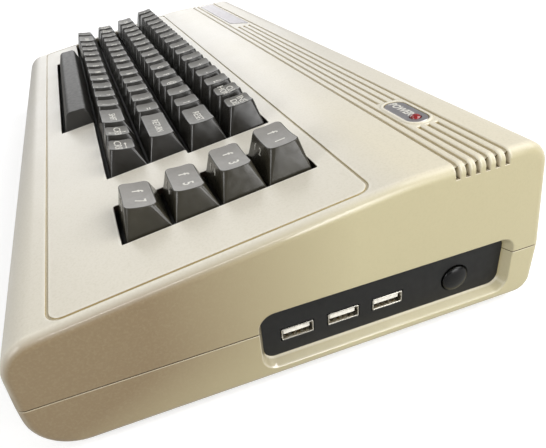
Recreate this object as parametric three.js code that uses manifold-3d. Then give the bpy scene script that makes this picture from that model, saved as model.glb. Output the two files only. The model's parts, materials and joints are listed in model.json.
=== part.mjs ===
// Home computer with a full keyboard in a two-part shell.
// Lengths are in millimetres. X runs to the right, Y to the rear and Z up.
// The origin lies on the table under the middle of the case.
import * as THREE from 'three';
import { mergeVertices } from 'three/addons/utils/BufferGeometryUtils.js';
import Module from 'manifold-3d';

const wasm = await Module();
wasm.setup();

const { degToRad, lerp } = THREE.MathUtils;

// Case
const caseWidth = 404;
const caseDepth = 208;
const wallThickness = 2.6;
const endRadius = 4;
const footHeight = 3;
const seamHeight = 27.5;
const seamGap = 0.3;
const seamGrooveHeight = 1.1;
const seamGrooveDepth = 0.7;
const frontLean = 0.8;
const rearLean = 6;
const underLean = 0.5;
const noseRadius = 15;
const bendRadius = 150;
const rearTopRadius = 11;
const rearUnderRadius = 8;
const frontUnderRadius = 19;
const deckAngle = degToRad(8.17);
const rearDeckAngle = degToRad(1.7);

// Clearances
const fitGap = 0.3;
const cutOverrun = 2;
const joinOverlap = 0.5;

// Keyboard field on the sloping deck
const keyboardLeftInset = 13.5;
const keyboardRightInset = 32.741;
const keyboardFrontInset = 47.4;
const keyboardRearInset = 84.4;
const deckHeight = 60;
const bendMargin = 20.8;
const openingGap = 1.1;
const borderLeftMargin = 8;
const borderRightMargin = 28.4;
const borderFrontMargin = 29.4;
const borderRearMargin = 8.8;
const borderRadius = 6;
const borderWidth = 0.9;
const borderDepth = 0.6;

// Key caps and plungers
const capGap = 0.45;
const capSideInset = 3.57;
const capCornerCut = 1.6;
const capEdge = 0.7;
const capWall = 1.5;
const capRoof = 2.6;
const skirtDrop = 1.6;
const plungerWidth = 5.6;
const plungerReach = 13.2;
const plungerSeat = 1.2;
const tieDrop = 2;
const tieThickness = 1.2;
const tieWidth = 3;

// Cap profiles by key line, as shares of the pitch of the key lines, from the front line to the rear one
const capProfileShares = [
  { frontInset: 0.268, rearInset: 0.152, frontHeight: 0.572, rearHeight: 0.42 },
  { frontInset: 0.262, rearInset: 0.157, frontHeight: 0.514, rearHeight: 0.43 },
  { frontInset: 0.247, rearInset: 0.142, frontHeight: 0.551, rearHeight: 0.52 },
  { frontInset: 0.278, rearInset: 0.1, frontHeight: 0.625, rearHeight: 0.625 },
];
const spaceBarProfileShare = {
  frontInset: 0.3, rearInset: 0.25, frontHeight: 0.46, rearHeight: 0.43,
};

// Key lines as shares of the key pitch: start of the line, then name, width and number of keys
const keyLineShares = [
  {
    start: -0.25,
    keys: [
      ['blank_key', 1], ['left_shift_key', 1.5], ['z_to_m_keys', 1, 7], ['comma_key', 1],
      ['period_key', 1], ['slash_key', 1], ['right_shift_key', 1.5], ['cursor_down_key', 1],
      ['cursor_right_key', 1],
    ],
  },
  {
    start: -0.25,
    keys: [
      ['run_stop_key', 1], ['shift_lock_key', 1], ['a_to_l_keys', 1, 9], ['colon_key', 1],
      ['semicolon_key', 1], ['equals_key', 1], ['return_key', 2],
    ],
  },
  {
    start: 0,
    keys: [
      ['control_key', 1.5], ['q_to_p_keys', 1, 10], ['at_key', 1], ['asterisk_key', 1],
      ['arrow_key', 1], ['reset_key', 1.5],
    ],
  },
  {
    start: 0,
    keys: [
      ['number_keys', 1, 11], ['plus_key', 1], ['minus_key', 1], ['pound_key', 1],
      ['clear_home_key', 1], ['insert_delete_key', 1],
    ],
  },
];
const functionKeyNames = ['f7_key', 'f5_key', 'f3_key', 'f1_key'];
const functionKeyStartShare = 17.28;
const functionKeyWidthShare = 1.5;
const spaceBarStartShare = 2.5;
const spaceBarWidthShare = 9;
const spaceBarGuideShare = 3;

// Keyboard frame and board under the deck
const frameDrop = 7.6;
const frameThickness = 2.5;
const frameWall = 2;
const frameReach = 18;
const frameMargin = 5.2;
const keyboardBoardThickness = 1.6;
const framePostRadius = 3;
const framePostInset = 3.4;

// Grooves and badges on the rear deck
const ventCount = 6;
const ventInset = 18.5;
const ventPitch = 4.13;
const ventWidth = 1.5;
const ventDepth = 1.1;
const ventEndReach = 3.4;
const ventEndDrop = 5.6;
const shortVents = [2, 3, 4];
const powerBadgeMargin = 0.5;
const nameBadgeMargin = 4;
const powerBadgeInset = 52;
const powerBadgeLength = 25;
const powerBadgeWidth = 10;
const powerRimWidth = 1.9;
const powerRimRise = 0.5;
const badgeEndFlat = 0.25;
const badgeThickness = 0.8;
const badgeRise = 0.2;
const lampOffset = 7.2;
const lampRadius = 2.4;
const lampRise = 1.4;
const lampReach = 5;
const lampBoardLength = 16;
const lampBoardWidth = 9;
const lampBoardThickness = 1.2;
const lampPostRadius = 1.5;
const nameBadgeInset = 11;
const nameBadgeLength = 99.5;
const nameBadgeSlant = 11;
const nameBadgeWidth = 11.6;

// Recess and panel on the right side
const recessFrontShare = 0.406;
const recessRearInset = 13.8;
const recessBottom = 8.2;
const recessTop = 35.4;
const recessRadius = 6.5;
const recessDepth = 4.5;
const recessDraft = 1.9;
const recessWall = 2.4;
const panelThickness = 2;
const panelOverlap = 1.2;
const panelLip = 1.4;

// Sockets and the main board
const boardTop = 16.6;
const boardThickness = 1.6;
const boardWidth = 84.7;
const boardFrontInset = 1.55;
const boardRearInset = 6;
const boardPostRadius = 3;
const boardPostInset = 6;
const socketProud = 0.2;
const usbWidth = 13.2;
const usbHeight = 5.4;
const usbDepth = 14;
const usbTongueWidth = 10.6;
const usbTongueThickness = 1.8;
const socketWall = 0.5;
const socketBack = 2;
const tongueInset = 1.2;
const sideSocketStartShare = 0.1481;
const sideSocketPitchShare = 0.1763;
const hdmiWidth = 15;
const hdmiHeight = 6;
const hdmiDepth = 11;
const hdmiCorner = 2.2;
const hdmiTongueWidth = 11;
const thinTongueThickness = 0.8;
const powerSocketWidth = 9;
const powerSocketHeight = 3.4;
const powerSocketRadius = 1.4;
const powerSocketDepth = 7.5;
const powerTongueWidth = 6.4;
const hdmiInset = 76;
const rearUsbInset = 50;
const powerSocketInset = 26;

// Power button and its switch
const buttonPlaceShare = 0.784;
const buttonLift = 0.4;
const buttonRadius = 5.8;
const buttonRise = 0.6;
const buttonDome = 1.5;
const buttonFlangeRadius = 7.1;
const buttonFlangeThickness = 1;
const buttonStemRadius = 2.2;
const buttonStemReach = 5.2;
const buttonTravel = 1.2;
const switchDepth = 4;
const switchWidth = 8;
const switchNubRadius = 1.4;
const switchNubReach = 0.8;

// Parts carried by the main board
const heatSinkInset = 62;
const heatSinkFrontInset = 48;
const heatSinkLength = 30;
const heatSinkBase = 2;
const heatSinkHeight = 9;
const heatSinkFins = 6;
const finThickness = 1.6;
const ribbonSideInset = 82;
const ribbonWidth = 16;
const ribbonThickness = 0.8;
const ribbonRearInset = 16.5;
const ribbonEndInset = 22;
const ribbonSlack = 9;
const connectorDepth = 5;
const connectorHeight = 4;

// Feet and screws
const footRadius = 7.5;
const footTaper = 0.8;
const footSideInset = 30;
const footFrontInset = 28;
const footRearInset = 25;
const screwSideInset = 52;
const screwFrontInset = 13;
const screwBossRadius = 5;
const screwShankRadius = 1.5;
const screwHeadRadius = 3.4;
const screwHeadHeight = 2.4;
const screwHeadDepth = 4;
const screwReach = 10;

// Counts of flat steps on round shapes
const roundSides = 16;
const buttonSides = 24;
const domeSteps = 4;
const endSteps = 3;

// Places worked out from the sizes above
const caseSide = caseWidth / 2;
const caseFront = -caseDepth / 2;
const caseRear = caseDepth / 2;
const keyLineCount = keyLineShares.length;
const keyboardX = keyboardLeftInset - caseSide;
const keyboardY = caseFront + keyboardFrontInset;
const keyboardWidth = caseWidth - keyboardLeftInset - keyboardRightInset;
const keyPitch = keyboardWidth / (functionKeyStartShare + functionKeyWidthShare);
const keyLinePitch = (caseDepth - keyboardFrontInset - keyboardRearInset) / keyLineCount;
const bendInset = keyLineCount * keyLinePitch + bendMargin;
const bendY = keyboardY + bendInset;
const bendZ = deckHeight + bendInset * Math.tan(deckAngle);
const noseY = caseFront + frontLean;
const noseZ = deckHeight + (noseY - keyboardY) * Math.tan(deckAngle);
const rearTopY = caseRear - rearLean;
const rearTopZ = bendZ + (rearTopY - bendY) * Math.tan(rearDeckAngle);
const frameTop = -frameDrop;
const frameBottom = frameTop - frameThickness;
const keyboardBoardTop = -frameReach - fitGap;
const panelFace = caseSide - recessDepth;
const panelBack = panelFace - panelThickness;
const badgeLine = ventInset + shortVents[1] * ventPitch;
const powerBadgeX = caseSide - powerBadgeInset;
const nameBadgeLeft = nameBadgeInset - caseSide;
const nameBadgeRight = nameBadgeLeft + nameBadgeLength;
const recessFront = caseFront + caseDepth * recessFrontShare;
const recessRear = caseRear - recessRearInset;
const recessLength = recessRear - recessFront;
const sideSocketStart = recessFront + recessLength * sideSocketStartShare;
const sideSocketPitch = recessLength * sideSocketPitchShare;
const buttonY = recessFront + recessLength * buttonPlaceShare;
const buttonZ = boardTop + usbHeight / 2 + buttonLift;
const boardRight = panelBack - fitGap - buttonFlangeThickness - buttonTravel - fitGap;
const boardLeft = boardRight - boardWidth;
const boardFront = recessFront + boardFrontInset;
const boardRear = caseRear - boardRearInset;
const hdmiX = caseSide - hdmiInset;
const rearUsbX = caseSide - rearUsbInset;
const powerSocketX = caseSide - powerSocketInset;
const heatSinkX = caseSide - heatSinkInset;
const heatSinkY = boardFront + heatSinkFrontInset;
const ribbonX = caseSide - ribbonSideInset;
const ribbonEndY = boardFront + ribbonEndInset;
const footX = caseSide - footSideInset;
const footFrontY = caseFront + footFrontInset;
const footRearY = caseRear - footRearInset;
const screwSpacing = caseSide - screwSideInset;
const screwY = caseFront + screwFrontInset;

// Materials
const shellPlastic = paint(0xd9d0b8, 0.55);
const keyPlastic = paint(0x3e3a36, 0.35);
const functionKeyPlastic = paint(0x5c5750, 0.35);
const blackPlastic = paint(0x1d1d1c, 0.5);
const badgeMetal = paint(0x8f8c8a, 0.4, 0.6);
const boardGreen = paint(0x1f5a36, 0.5);
const steel = paint(0xb9b9b6, 0.3, 1);
const aluminium = paint(0x9fa3a6, 0.4, 1);
const rubber = paint(0x2a2a2a, 0.9);
const redLens = paint(0xa81f1c, 0.2);
const ribbonPlastic = paint(0xb7b3a8, 0.6);

const computer = new THREE.Group();
const keyboard = new THREE.Group();
keyboard.position.set(keyboardX, keyboardY, deckHeight);
keyboard.rotation.x = deckAngle;
keyboard.updateMatrix();
const rearDeck = new THREE.Group();
rearDeck.position.set(0, bendY, bendZ);
rearDeck.rotation.x = rearDeckAngle;
rearDeck.updateMatrix();
computer.add(keyboard, rearDeck);

buildCase();
buildKeyboard();
buildSidePanel();
buildBadges();
buildBoards();
buildFastenersAndFeet();

export default computer;

// Solids and meshes

function paint(color, roughness, metalness = 0) {
  return new THREE.MeshStandardMaterial({ color, roughness, metalness });
}

function solidFrom(geometry, matrix) {
  const bare = geometry.clone();
  bare.deleteAttribute('normal');
  bare.deleteAttribute('uv');
  if (matrix) bare.applyMatrix4(matrix);
  const merged = mergeVertices(bare);
  const corners = Array.from(merged.index.array);
  const triVerts = [];
  for (let i = 0; i < corners.length; i += 3) {
    const [a, b, c] = corners.slice(i, i + 3);
    if (a !== b && b !== c && c !== a) triVerts.push(a, b, c);
  }
  return new wasm.Manifold(new wasm.Mesh({
    numProp: 3,
    vertProperties: Float32Array.from(merged.attributes.position.array),
    triVerts: Uint32Array.from(triVerts),
  }));
}

function addPart(name, solid, material, parent = computer) {
  const { vertProperties, triVerts } = solid.getMesh();
  const geometry = new THREE.BufferGeometry();
  geometry.setAttribute('position', new THREE.BufferAttribute(vertProperties, 3));
  geometry.setIndex(new THREE.BufferAttribute(triVerts, 1));
  geometry.computeVertexNormals();
  const mesh = new THREE.Mesh(geometry, material);
  mesh.name = name;
  parent.add(mesh);
  return mesh;
}

function joined(solids) {
  return solids.reduce((whole, solid) => whole.add(solid));
}

function cut(solid, cutters) {
  return cutters.reduce((rest, cutter) => rest.subtract(cutter), solid);
}

// A box between two corners
function block([left, front, bottom], [right, rear, top], matrix) {
  const geometry = new THREE.BoxGeometry(right - left, rear - front, top - bottom);
  geometry.translate((left + right) / 2, (front + rear) / 2, (bottom + top) / 2);
  return solidFrom(geometry, matrix);
}

// An upright round post
function post(x, y, bottom, top, radius, matrix) {
  const geometry = new THREE.CylinderGeometry(radius, radius, top - bottom, roundSides);
  geometry.rotateX(Math.PI / 2);
  geometry.translate(x, y, (bottom + top) / 2);
  return solidFrom(geometry, matrix);
}

// A round solid about Z from points of radius and height, from the bottom to the top
function turned(profile, sides) {
  const points = profile.map(([radius, height]) => new THREE.Vector2(radius, height));
  const geometry = new THREE.LatheGeometry(points, sides);
  geometry.rotateX(Math.PI / 2);
  return solidFrom(geometry);
}

// Profile points of a dome from its rim to its crown
function domeProfile(radius, rim, rise) {
  const slope = Array.from({ length: domeSteps }, (_, step) => {
    const angle = (Math.PI / 2) * (step / domeSteps);
    return [radius * Math.cos(angle), rim + rise * Math.sin(angle)];
  });
  return [...slope, [0, rim + rise]];
}

// A flat plate between two heights, from an outline in X and Y
function plate(outline, bottom, top, matrix) {
  const options = { depth: top - bottom, bevelEnabled: false };
  const geometry = new THREE.ExtrudeGeometry(new THREE.Shape(outline), options);
  geometry.translate(0, 0, bottom);
  return solidFrom(geometry, matrix);
}

// A length of an outline in Y and Z, run along X, with its two ends drawn in
function lengthwise(outline, left, right, end = { reach: 0, draw: 0, steps: 1 }) {
  const geometry = new THREE.ExtrudeGeometry(new THREE.Shape(outline), {
    depth: right - left - 2 * end.reach,
    bevelEnabled: end.reach > 0,
    bevelThickness: end.reach,
    bevelSize: end.draw,
    bevelOffset: -end.draw,
    bevelSegments: end.steps,
  });
  geometry.translate(0, 0, left + end.reach);
  const alongX = new THREE.Matrix4().makeBasis(
    new THREE.Vector3(0, 1, 0),
    new THREE.Vector3(0, 0, 1),
    new THREE.Vector3(1, 0, 0),
  );
  return solidFrom(geometry, alongX);
}

function rounded(radius, steps = endSteps) {
  return { reach: radius, draw: radius, steps };
}

// Outline points with an arc at each corner that has a radius
function roundedOutline(corners) {
  return corners.flatMap(({ x, y, radius = 0, steps = endSteps }, index) => {
    const corner = new THREE.Vector2(x, y);
    if (radius === 0) return [corner];
    const last = corners[(index + corners.length - 1) % corners.length];
    const next = corners[(index + 1) % corners.length];
    const toLast = new THREE.Vector2(last.x, last.y).sub(corner).normalize();
    const toNext = new THREE.Vector2(next.x, next.y).sub(corner).normalize();
    const half = Math.acos(THREE.MathUtils.clamp(toLast.dot(toNext), -1, 1)) / 2;
    const middle = toLast.clone().add(toNext).normalize();
    const centre = corner.clone().addScaledVector(middle, radius / Math.sin(half));
    const start = corner.clone().addScaledVector(toLast, radius / Math.tan(half)).sub(centre);
    const turn = Math.sign(toNext.cross(toLast)) * (Math.PI - 2 * half);
    return Array.from({ length: steps + 1 }, (_, step) => {
      const spoke = start.clone().rotateAround(new THREE.Vector2(), (turn * step) / steps);
      return spoke.add(centre);
    });
  });
}

function rectangle(left, front, right, rear, radius = 0, steps = endSteps) {
  return roundedOutline([
    { x: left, y: front, radius, steps },
    { x: right, y: front, radius, steps },
    { x: right, y: rear, radius, steps },
    { x: left, y: rear, radius, steps },
  ]);
}

// The same outline drawn in, or out where the distance is negative
function inset(outline, distance) {
  return outline.map((point, index) => {
    const last = outline[(index + outline.length - 1) % outline.length];
    const next = outline[(index + 1) % outline.length];
    const arriving = point.clone().sub(last).normalize();
    const leaving = next.clone().sub(point).normalize();
    const arrivingIn = new THREE.Vector2(-arriving.y, arriving.x);
    const leavingIn = new THREE.Vector2(-leaving.y, leaving.x);
    const reach = distance / (1 + arrivingIn.dot(leavingIn));
    return point.clone().addScaledVector(arrivingIn.add(leavingIn), reach);
  });
}

// A solid through rectangles stacked in height, each with its own front and rear height
function stacked(cornerCut, levels) {
  const [base] = levels;
  const width = base.right - base.left;
  const depth = base.rear - base.front;
  const outline = rectangle(0, 0, width, depth, cornerCut, 1);
  const lastLevel = levels.length - 1;
  const options = { depth: lastLevel, steps: lastLevel, bevelEnabled: false };
  const geometry = new THREE.ExtrudeGeometry(new THREE.Shape(outline), options);
  const { position } = geometry.attributes;
  for (let i = 0; i < position.count; i += 1) {
    const level = levels[Math.round(position.getZ(i))];
    const across = position.getX(i) / width;
    const back = position.getY(i) / depth;
    position.setXYZ(
      i,
      lerp(level.left, level.right, across),
      lerp(level.front, level.rear, back),
      lerp(level.frontHeight, level.rearHeight, back),
    );
  }
  return solidFrom(geometry);
}

// Case

function caseOutline() {
  return roundedOutline([
    { x: caseFront + underLean, y: footHeight, radius: frontUnderRadius, steps: 8 },
    { x: caseRear - underLean, y: footHeight, radius: rearUnderRadius, steps: 6 },
    { x: caseRear, y: seamHeight },
    { x: rearTopY, y: rearTopZ, radius: rearTopRadius, steps: 6 },
    { x: bendY, y: bendZ, radius: bendRadius, steps: 4 },
    { x: noseY, y: noseZ, radius: noseRadius, steps: 6 },
    { x: caseFront, y: seamHeight },
  ]);
}

// The whole case body, drawn in all round by a distance
function caseBody(distance) {
  const outline = inset(caseOutline(), distance);
  return lengthwise(outline, distance - caseSide, caseSide - distance, rounded(endRadius - distance));
}

function seamSlab(bottom, top) {
  return block([-caseWidth, -caseDepth, bottom], [caseWidth, caseDepth, top]);
}

function recessOutline(distance) {
  const outline = rectangle(recessFront, recessBottom, recessRear, recessTop, recessRadius);
  return inset(outline, distance);
}

// The walls round the side recess, inside the case
function recessFrame(body) {
  const back = panelBack - fitGap - panelLip;
  const frame = lengthwise(recessOutline(-recessWall), back, caseSide);
  return frame.intersect(body);
}

function recessCutters() {
  const mouth = { reach: recessDepth, draw: recessDraft, steps: 1 };
  const pocket = lengthwise(recessOutline(0), panelFace, caseSide + recessDepth + cutOverrun, mouth);
  const seatOutline = recessOutline(recessDraft - panelOverlap - fitGap);
  const seat = lengthwise(seatOutline, panelBack - fitGap, panelFace);
  const back = panelBack - panelLip - cutOverrun;
  const passage = lengthwise(recessOutline(recessDraft), back, panelFace);
  return [pocket, seat, passage];
}

function screwPlaces() {
  return [-screwSpacing, 0, screwSpacing];
}

function screwBosses(body) {
  return screwPlaces().map((x) => post(x, screwY, 0, bendZ, screwBossRadius).intersect(body));
}

function screwHoles() {
  return screwPlaces().flatMap((x) => [
    post(x, screwY, 0, seamHeight + screwReach + fitGap, screwShankRadius + fitGap),
    post(x, screwY, 0, footHeight + screwHeadDepth, screwHeadRadius + fitGap),
  ]);
}

function buildCase() {
  const body = caseBody(0);
  const hollow = caseBody(wallThickness);
  const halfGroove = seamGrooveHeight / 2;
  const seamBand = seamSlab(seamHeight - halfGroove, seamHeight + halfGroove);
  const seamGroove = seamBand.subtract(caseBody(seamGrooveDepth));
  const walls = joined([body.subtract(hollow), recessFrame(body), ...screwBosses(body)]);
  const shell = cut(walls, [...recessCutters(), ...screwHoles(), seamGroove]);
  const upper = seamSlab(seamHeight + seamGap / 2, caseWidth);
  const lower = seamSlab(-caseWidth, seamHeight - seamGap / 2);
  addPart('top_case', topCase(shell.intersect(upper)), shellPlastic);
  addPart('bottom_case', bottomCase(shell.intersect(lower)), shellPlastic);
}

function topCase(shell) {
  const supports = [...framePosts(), ...lampPosts(), powerRim()];
  const cutters = [
    ...keyOpenings(), borderGroove(), ...ventGrooves(), ...ventEnds(), ...badgeSeats(), lampHole(),
  ];
  return cut(joined([shell, ...supports]), cutters);
}

function bottomCase(shell) {
  return cut(joined([shell, ...boardPosts()]), rearSocketHoles());
}

// Openings for the keys, stepped where the lines of keys are shifted
function keyOpenings() {
  const [letters, , upperLine] = keyLineShares;
  const lowerLeft = letters.start * keyPitch - openingGap;
  const upperLeft = upperLine.start * keyPitch - openingGap;
  const lowerRight = lineEnd(letters) * keyPitch + openingGap;
  const upperRight = lineEnd(upperLine) * keyPitch + openingGap;
  const middle = keyLinePitch * 2;
  const rear = keyLinePitch * keyLineCount + openingGap;
  const barLeft = spaceBarStartShare * keyPitch - openingGap;
  const barRight = (spaceBarStartShare + spaceBarWidthShare) * keyPitch + openingGap;
  const corners = [
    [lowerLeft, -openingGap], [barLeft, -openingGap], [barLeft, -keyLinePitch - openingGap],
    [barRight, -keyLinePitch - openingGap], [barRight, -openingGap], [lowerRight, -openingGap],
    [lowerRight, middle - openingGap], [upperRight, middle - openingGap], [upperRight, rear],
    [upperLeft, rear], [upperLeft, middle + openingGap], [lowerLeft, middle + openingGap],
  ];
  const main = corners.map(([x, y]) => new THREE.Vector2(x, y));
  const left = functionKeyStartShare * keyPitch - openingGap;
  const right = (functionKeyStartShare + functionKeyWidthShare) * keyPitch + openingGap;
  const side = rectangle(left, -openingGap, right, rear);
  const bottom = -wallThickness - cutOverrun;
  return [main, side].map((outline) => plate(outline, bottom, cutOverrun, keyboard.matrix));
}

function lineEnd(line) {
  return line.keys.reduce((end, [, width, count = 1]) => end + width * count, line.start);
}

// Thin groove round the keyboard field
function borderGroove() {
  const left = -borderLeftMargin;
  const keysRight = (functionKeyStartShare + functionKeyWidthShare) * keyPitch;
  const right = keysRight + borderRightMargin;
  const rear = keyLineCount * keyLinePitch + borderRearMargin;
  const front = -borderFrontMargin;
  const outline = rectangle(left, front, right, rear, borderRadius);
  const outer = plate(outline, -borderDepth, cutOverrun, keyboard.matrix);
  const inner = plate(inset(outline, borderWidth), -wallThickness, wallThickness, keyboard.matrix);
  return outer.subtract(inner);
}

function ventLine(index) {
  return ventInset + index * ventPitch;
}

function ventRuns(index) {
  const left = -caseSide - cutOverrun;
  const right = caseSide + cutOverrun;
  if (!shortVents.includes(index)) return [[left, right]];
  const powerReach = powerBadgeLength / 2 + powerRimWidth + powerBadgeMargin;
  const slantEnd = nameBadgeRight + nameBadgeSlant + nameBadgeMargin;
  return [
    [left, nameBadgeLeft - nameBadgeMargin],
    [slantEnd, powerBadgeX - powerReach],
    [powerBadgeX + powerReach, right],
  ];
}

function ventGrooves() {
  return Array.from({ length: ventCount }, (_, index) => ventRuns(index).map(([left, right]) => {
    const middle = ventLine(index);
    const front = middle - ventWidth / 2;
    const rear = middle + ventWidth / 2;
    return block([left, front, -ventDepth], [right, rear, cutOverrun], rearDeck.matrix);
  })).flat();
}

// Deep ends of the grooves, open through both side walls
function ventEnds() {
  return Array.from({ length: ventCount }, (_, index) => [-1, 1].map((side) => {
    const edges = [caseSide - ventEndReach, caseSide + cutOverrun].map((x) => x * side);
    const front = ventLine(index) - ventWidth / 2;
    const left = Math.min(...edges);
    const right = Math.max(...edges);
    const top = cutOverrun;
    return block([left, front, -ventEndDrop], [right, front + ventWidth, top], rearDeck.matrix);
  })).flat();
}

// Badges and the power lamp on the rear deck

function powerBadgeOutline(margin) {
  const reach = powerBadgeLength / 2 + margin;
  const half = powerBadgeWidth / 2 + margin;
  const left = powerBadgeX - reach;
  const right = powerBadgeX + reach;
  const steps = domeSteps;
  return rectangle(left, badgeLine - half, right, badgeLine + half, half - badgeEndFlat, steps);
}

function nameBadgeOutline(margin) {
  const front = badgeLine - nameBadgeWidth / 2;
  const rear = badgeLine + nameBadgeWidth / 2;
  return inset([
    new THREE.Vector2(nameBadgeLeft, front),
    new THREE.Vector2(nameBadgeRight, front),
    new THREE.Vector2(nameBadgeRight + nameBadgeSlant, rear),
    new THREE.Vector2(nameBadgeLeft, rear),
  ], -margin);
}

function powerRim() {
  return plate(powerBadgeOutline(powerRimWidth), -joinOverlap, powerRimRise, rearDeck.matrix);
}

function badgeSeats() {
  const bottom = badgeRise - badgeThickness - fitGap;
  const outlines = [powerBadgeOutline(fitGap), nameBadgeOutline(fitGap)];
  return outlines.map((outline) => plate(outline, bottom, cutOverrun, rearDeck.matrix));
}

function lampHole() {
  const bottom = -wallThickness - cutOverrun;
  const radius = lampRadius + fitGap;
  return post(powerBadgeX + lampOffset, badgeLine, bottom, cutOverrun, radius, rearDeck.matrix);
}

function lampBoardTop() {
  return -lampReach - fitGap;
}

function lampPosts() {
  const reach = lampBoardLength / 2 - lampPostRadius;
  return [-reach, reach].map((offset) => post(
    powerBadgeX + lampOffset + offset, badgeLine, lampBoardTop() + fitGap,
    joinOverlap - wallThickness, lampPostRadius, rearDeck.matrix,
  ));
}

function buildBadges() {
  const bottom = badgeRise - badgeThickness;
  const lampX = powerBadgeX + lampOffset;
  const hole = post(lampX, badgeLine, bottom - cutOverrun, cutOverrun, lampRadius + fitGap);
  const badge = plate(powerBadgeOutline(0), bottom, badgeRise).subtract(hole);
  addPart('power_badge', badge, badgeMetal, rearDeck);
  addPart('name_badge', plate(nameBadgeOutline(0), bottom, badgeRise), badgeMetal, rearDeck);
  const lamp = addPart('power_lamp', lampLens(), redLens, rearDeck);
  lamp.position.set(lampX, badgeLine, 0);
  const halfLength = lampBoardLength / 2;
  const halfWidth = lampBoardWidth / 2;
  const board = block(
    [lampX - halfLength, badgeLine - halfWidth, lampBoardTop() - lampBoardThickness],
    [lampX + halfLength, badgeLine + halfWidth, lampBoardTop()],
  );
  addPart('lamp_board', board, boardGreen, rearDeck);
}

// Round lens with a domed top
function lampLens() {
  return turned([
    [0, -lampReach], [lampRadius, -lampReach], ...domeProfile(lampRadius, 0, lampRise),
  ], roundSides);
}

// Keyboard

function buildKeyboard() {
  keyLineShares.forEach((line, lineIndex) => {
    let start = line.start;
    line.keys.forEach(([name, width, count = 1]) => {
      const cells = Array.from({ length: count }, (_, index) => {
        return keyCell(start + index * width, width, lineIndex);
      });
      addPart(name, keyPiece(cells, capProfileShares[lineIndex]), keyPlastic, keyboard);
      start += width * count;
    });
  });
  functionKeyNames.forEach((name, lineIndex) => {
    const cell = keyCell(functionKeyStartShare, functionKeyWidthShare, lineIndex);
    const piece = keyPiece([cell], capProfileShares[lineIndex]);
    addPart(name, piece, functionKeyPlastic, keyboard);
  });
  addPart('space_bar', spaceBar(), keyPlastic, keyboard);
  addPart('keyboard_frame', keyboardFrame(), blackPlastic, keyboard);
  addPart('keyboard_board', keyboardBoard(), boardGreen, keyboard);
}

function keyCell(startShare, widthShare, lineIndex) {
  return {
    left: startShare * keyPitch,
    right: (startShare + widthShare) * keyPitch,
    front: lineIndex * keyLinePitch,
    rear: (lineIndex + 1) * keyLinePitch,
  };
}

function cellMiddle(cell) {
  return [(cell.left + cell.right) / 2, (cell.front + cell.rear) / 2];
}

// One key, or a run of keys whose plungers a thin tie holds together
function keyPiece(cells, profile) {
  const parts = cells.flatMap((cell) => [keyCap(cell, profile), plunger(cellMiddle(cell), profile)]);
  if (cells.length > 1) parts.push(plungerTie(cells));
  return joined(parts);
}

function keyCap(cell, profile) {
  const edges = (sideInset, frontInset, rearInset) => ({
    left: cell.left + sideInset,
    right: cell.right - sideInset,
    front: cell.front + frontInset,
    rear: cell.rear - rearInset,
  });
  const frontInset = profile.frontInset * keyLinePitch;
  const rearInset = profile.rearInset * keyLinePitch;
  const heights = (drop) => ({
    frontHeight: profile.frontHeight * keyLinePitch - drop,
    rearHeight: profile.rearHeight * keyLinePitch - drop,
  });
  const skirt = (drop) => ({ frontHeight: -drop, rearHeight: -drop });
  const outside = stacked(capCornerCut, [
    { ...edges(capGap, capGap, capGap), ...skirt(skirtDrop) },
    { ...edges(capSideInset, frontInset, rearInset), ...heights(capEdge) },
    { ...edges(capSideInset + capEdge, frontInset + capEdge, rearInset + capEdge), ...heights(0) },
  ]);
  const inner = capGap + capWall;
  const inside = stacked(0, [
    { ...edges(inner, inner, inner), ...skirt(skirtDrop + joinOverlap) },
    { ...edges(capSideInset + capWall, frontInset + capWall, rearInset + capWall), ...heights(capRoof) },
  ]);
  return outside.subtract(inside);
}

function plunger([x, y], profile) {
  const half = plungerWidth / 2;
  const height = lerp(profile.frontHeight, profile.rearHeight, 0.5) * keyLinePitch;
  const top = height - capRoof + plungerSeat;
  return block([x - half, y - half, -plungerReach], [x + half, y + half, top]);
}

function plungerTie(cells) {
  const [left, y] = cellMiddle(cells[0]);
  const [right] = cellMiddle(cells.at(-1));
  const half = tieWidth / 2;
  return block([left, y - half, -tieDrop - tieThickness], [right, y + half, -tieDrop]);
}

function spaceBarCell() {
  return keyCell(spaceBarStartShare, spaceBarWidthShare, -1);
}

function spaceBarPlungers() {
  const [x, y] = cellMiddle(spaceBarCell());
  const reach = spaceBarGuideShare * keyPitch;
  return [[x - reach, y], [x, y], [x + reach, y]];
}

function spaceBar() {
  const cap = keyCap(spaceBarCell(), spaceBarProfileShare);
  return joined([cap, ...spaceBarPlungers().map((place) => plunger(place, spaceBarProfileShare))]);
}

function allPlungers() {
  const letters = keyLineShares.flatMap((line, lineIndex) => {
    let start = line.start;
    return line.keys.flatMap(([, width, count = 1]) => {
      const places = Array.from({ length: count }, (_, index) => {
        return cellMiddle(keyCell(start + index * width, width, lineIndex));
      });
      start += width * count;
      return places;
    });
  });
  const functionKeys = functionKeyNames.map((_, lineIndex) => {
    return cellMiddle(keyCell(functionKeyStartShare, functionKeyWidthShare, lineIndex));
  });
  return [...letters, ...functionKeys, ...spaceBarPlungers()];
}

function frameEdges() {
  const margin = openingGap + frameMargin;
  return {
    left: keyLineShares[0].start * keyPitch - frameMargin,
    right: (functionKeyStartShare + functionKeyWidthShare) * keyPitch + margin,
    front: -keyLinePitch - margin,
    rear: keyLineCount * keyLinePitch + margin,
  };
}

function frameOutline(distance) {
  const { left, right, front, rear } = frameEdges();
  return inset(rectangle(left, front, right, rear), distance);
}

// Plate with a square guide hole for each plunger, and a wall round its edge
function keyboardFrame() {
  const half = plungerWidth / 2 + fitGap;
  const bottom = frameBottom - cutOverrun;
  const holes = allPlungers().map(([x, y]) => {
    return block([x - half, y - half, bottom], [x + half, y + half, 0]);
  });
  const inside = plate(frameOutline(frameWall), -frameReach - cutOverrun, frameBottom);
  return cut(plate(frameOutline(0), -frameReach, frameTop), [inside, ...holes]);
}

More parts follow.
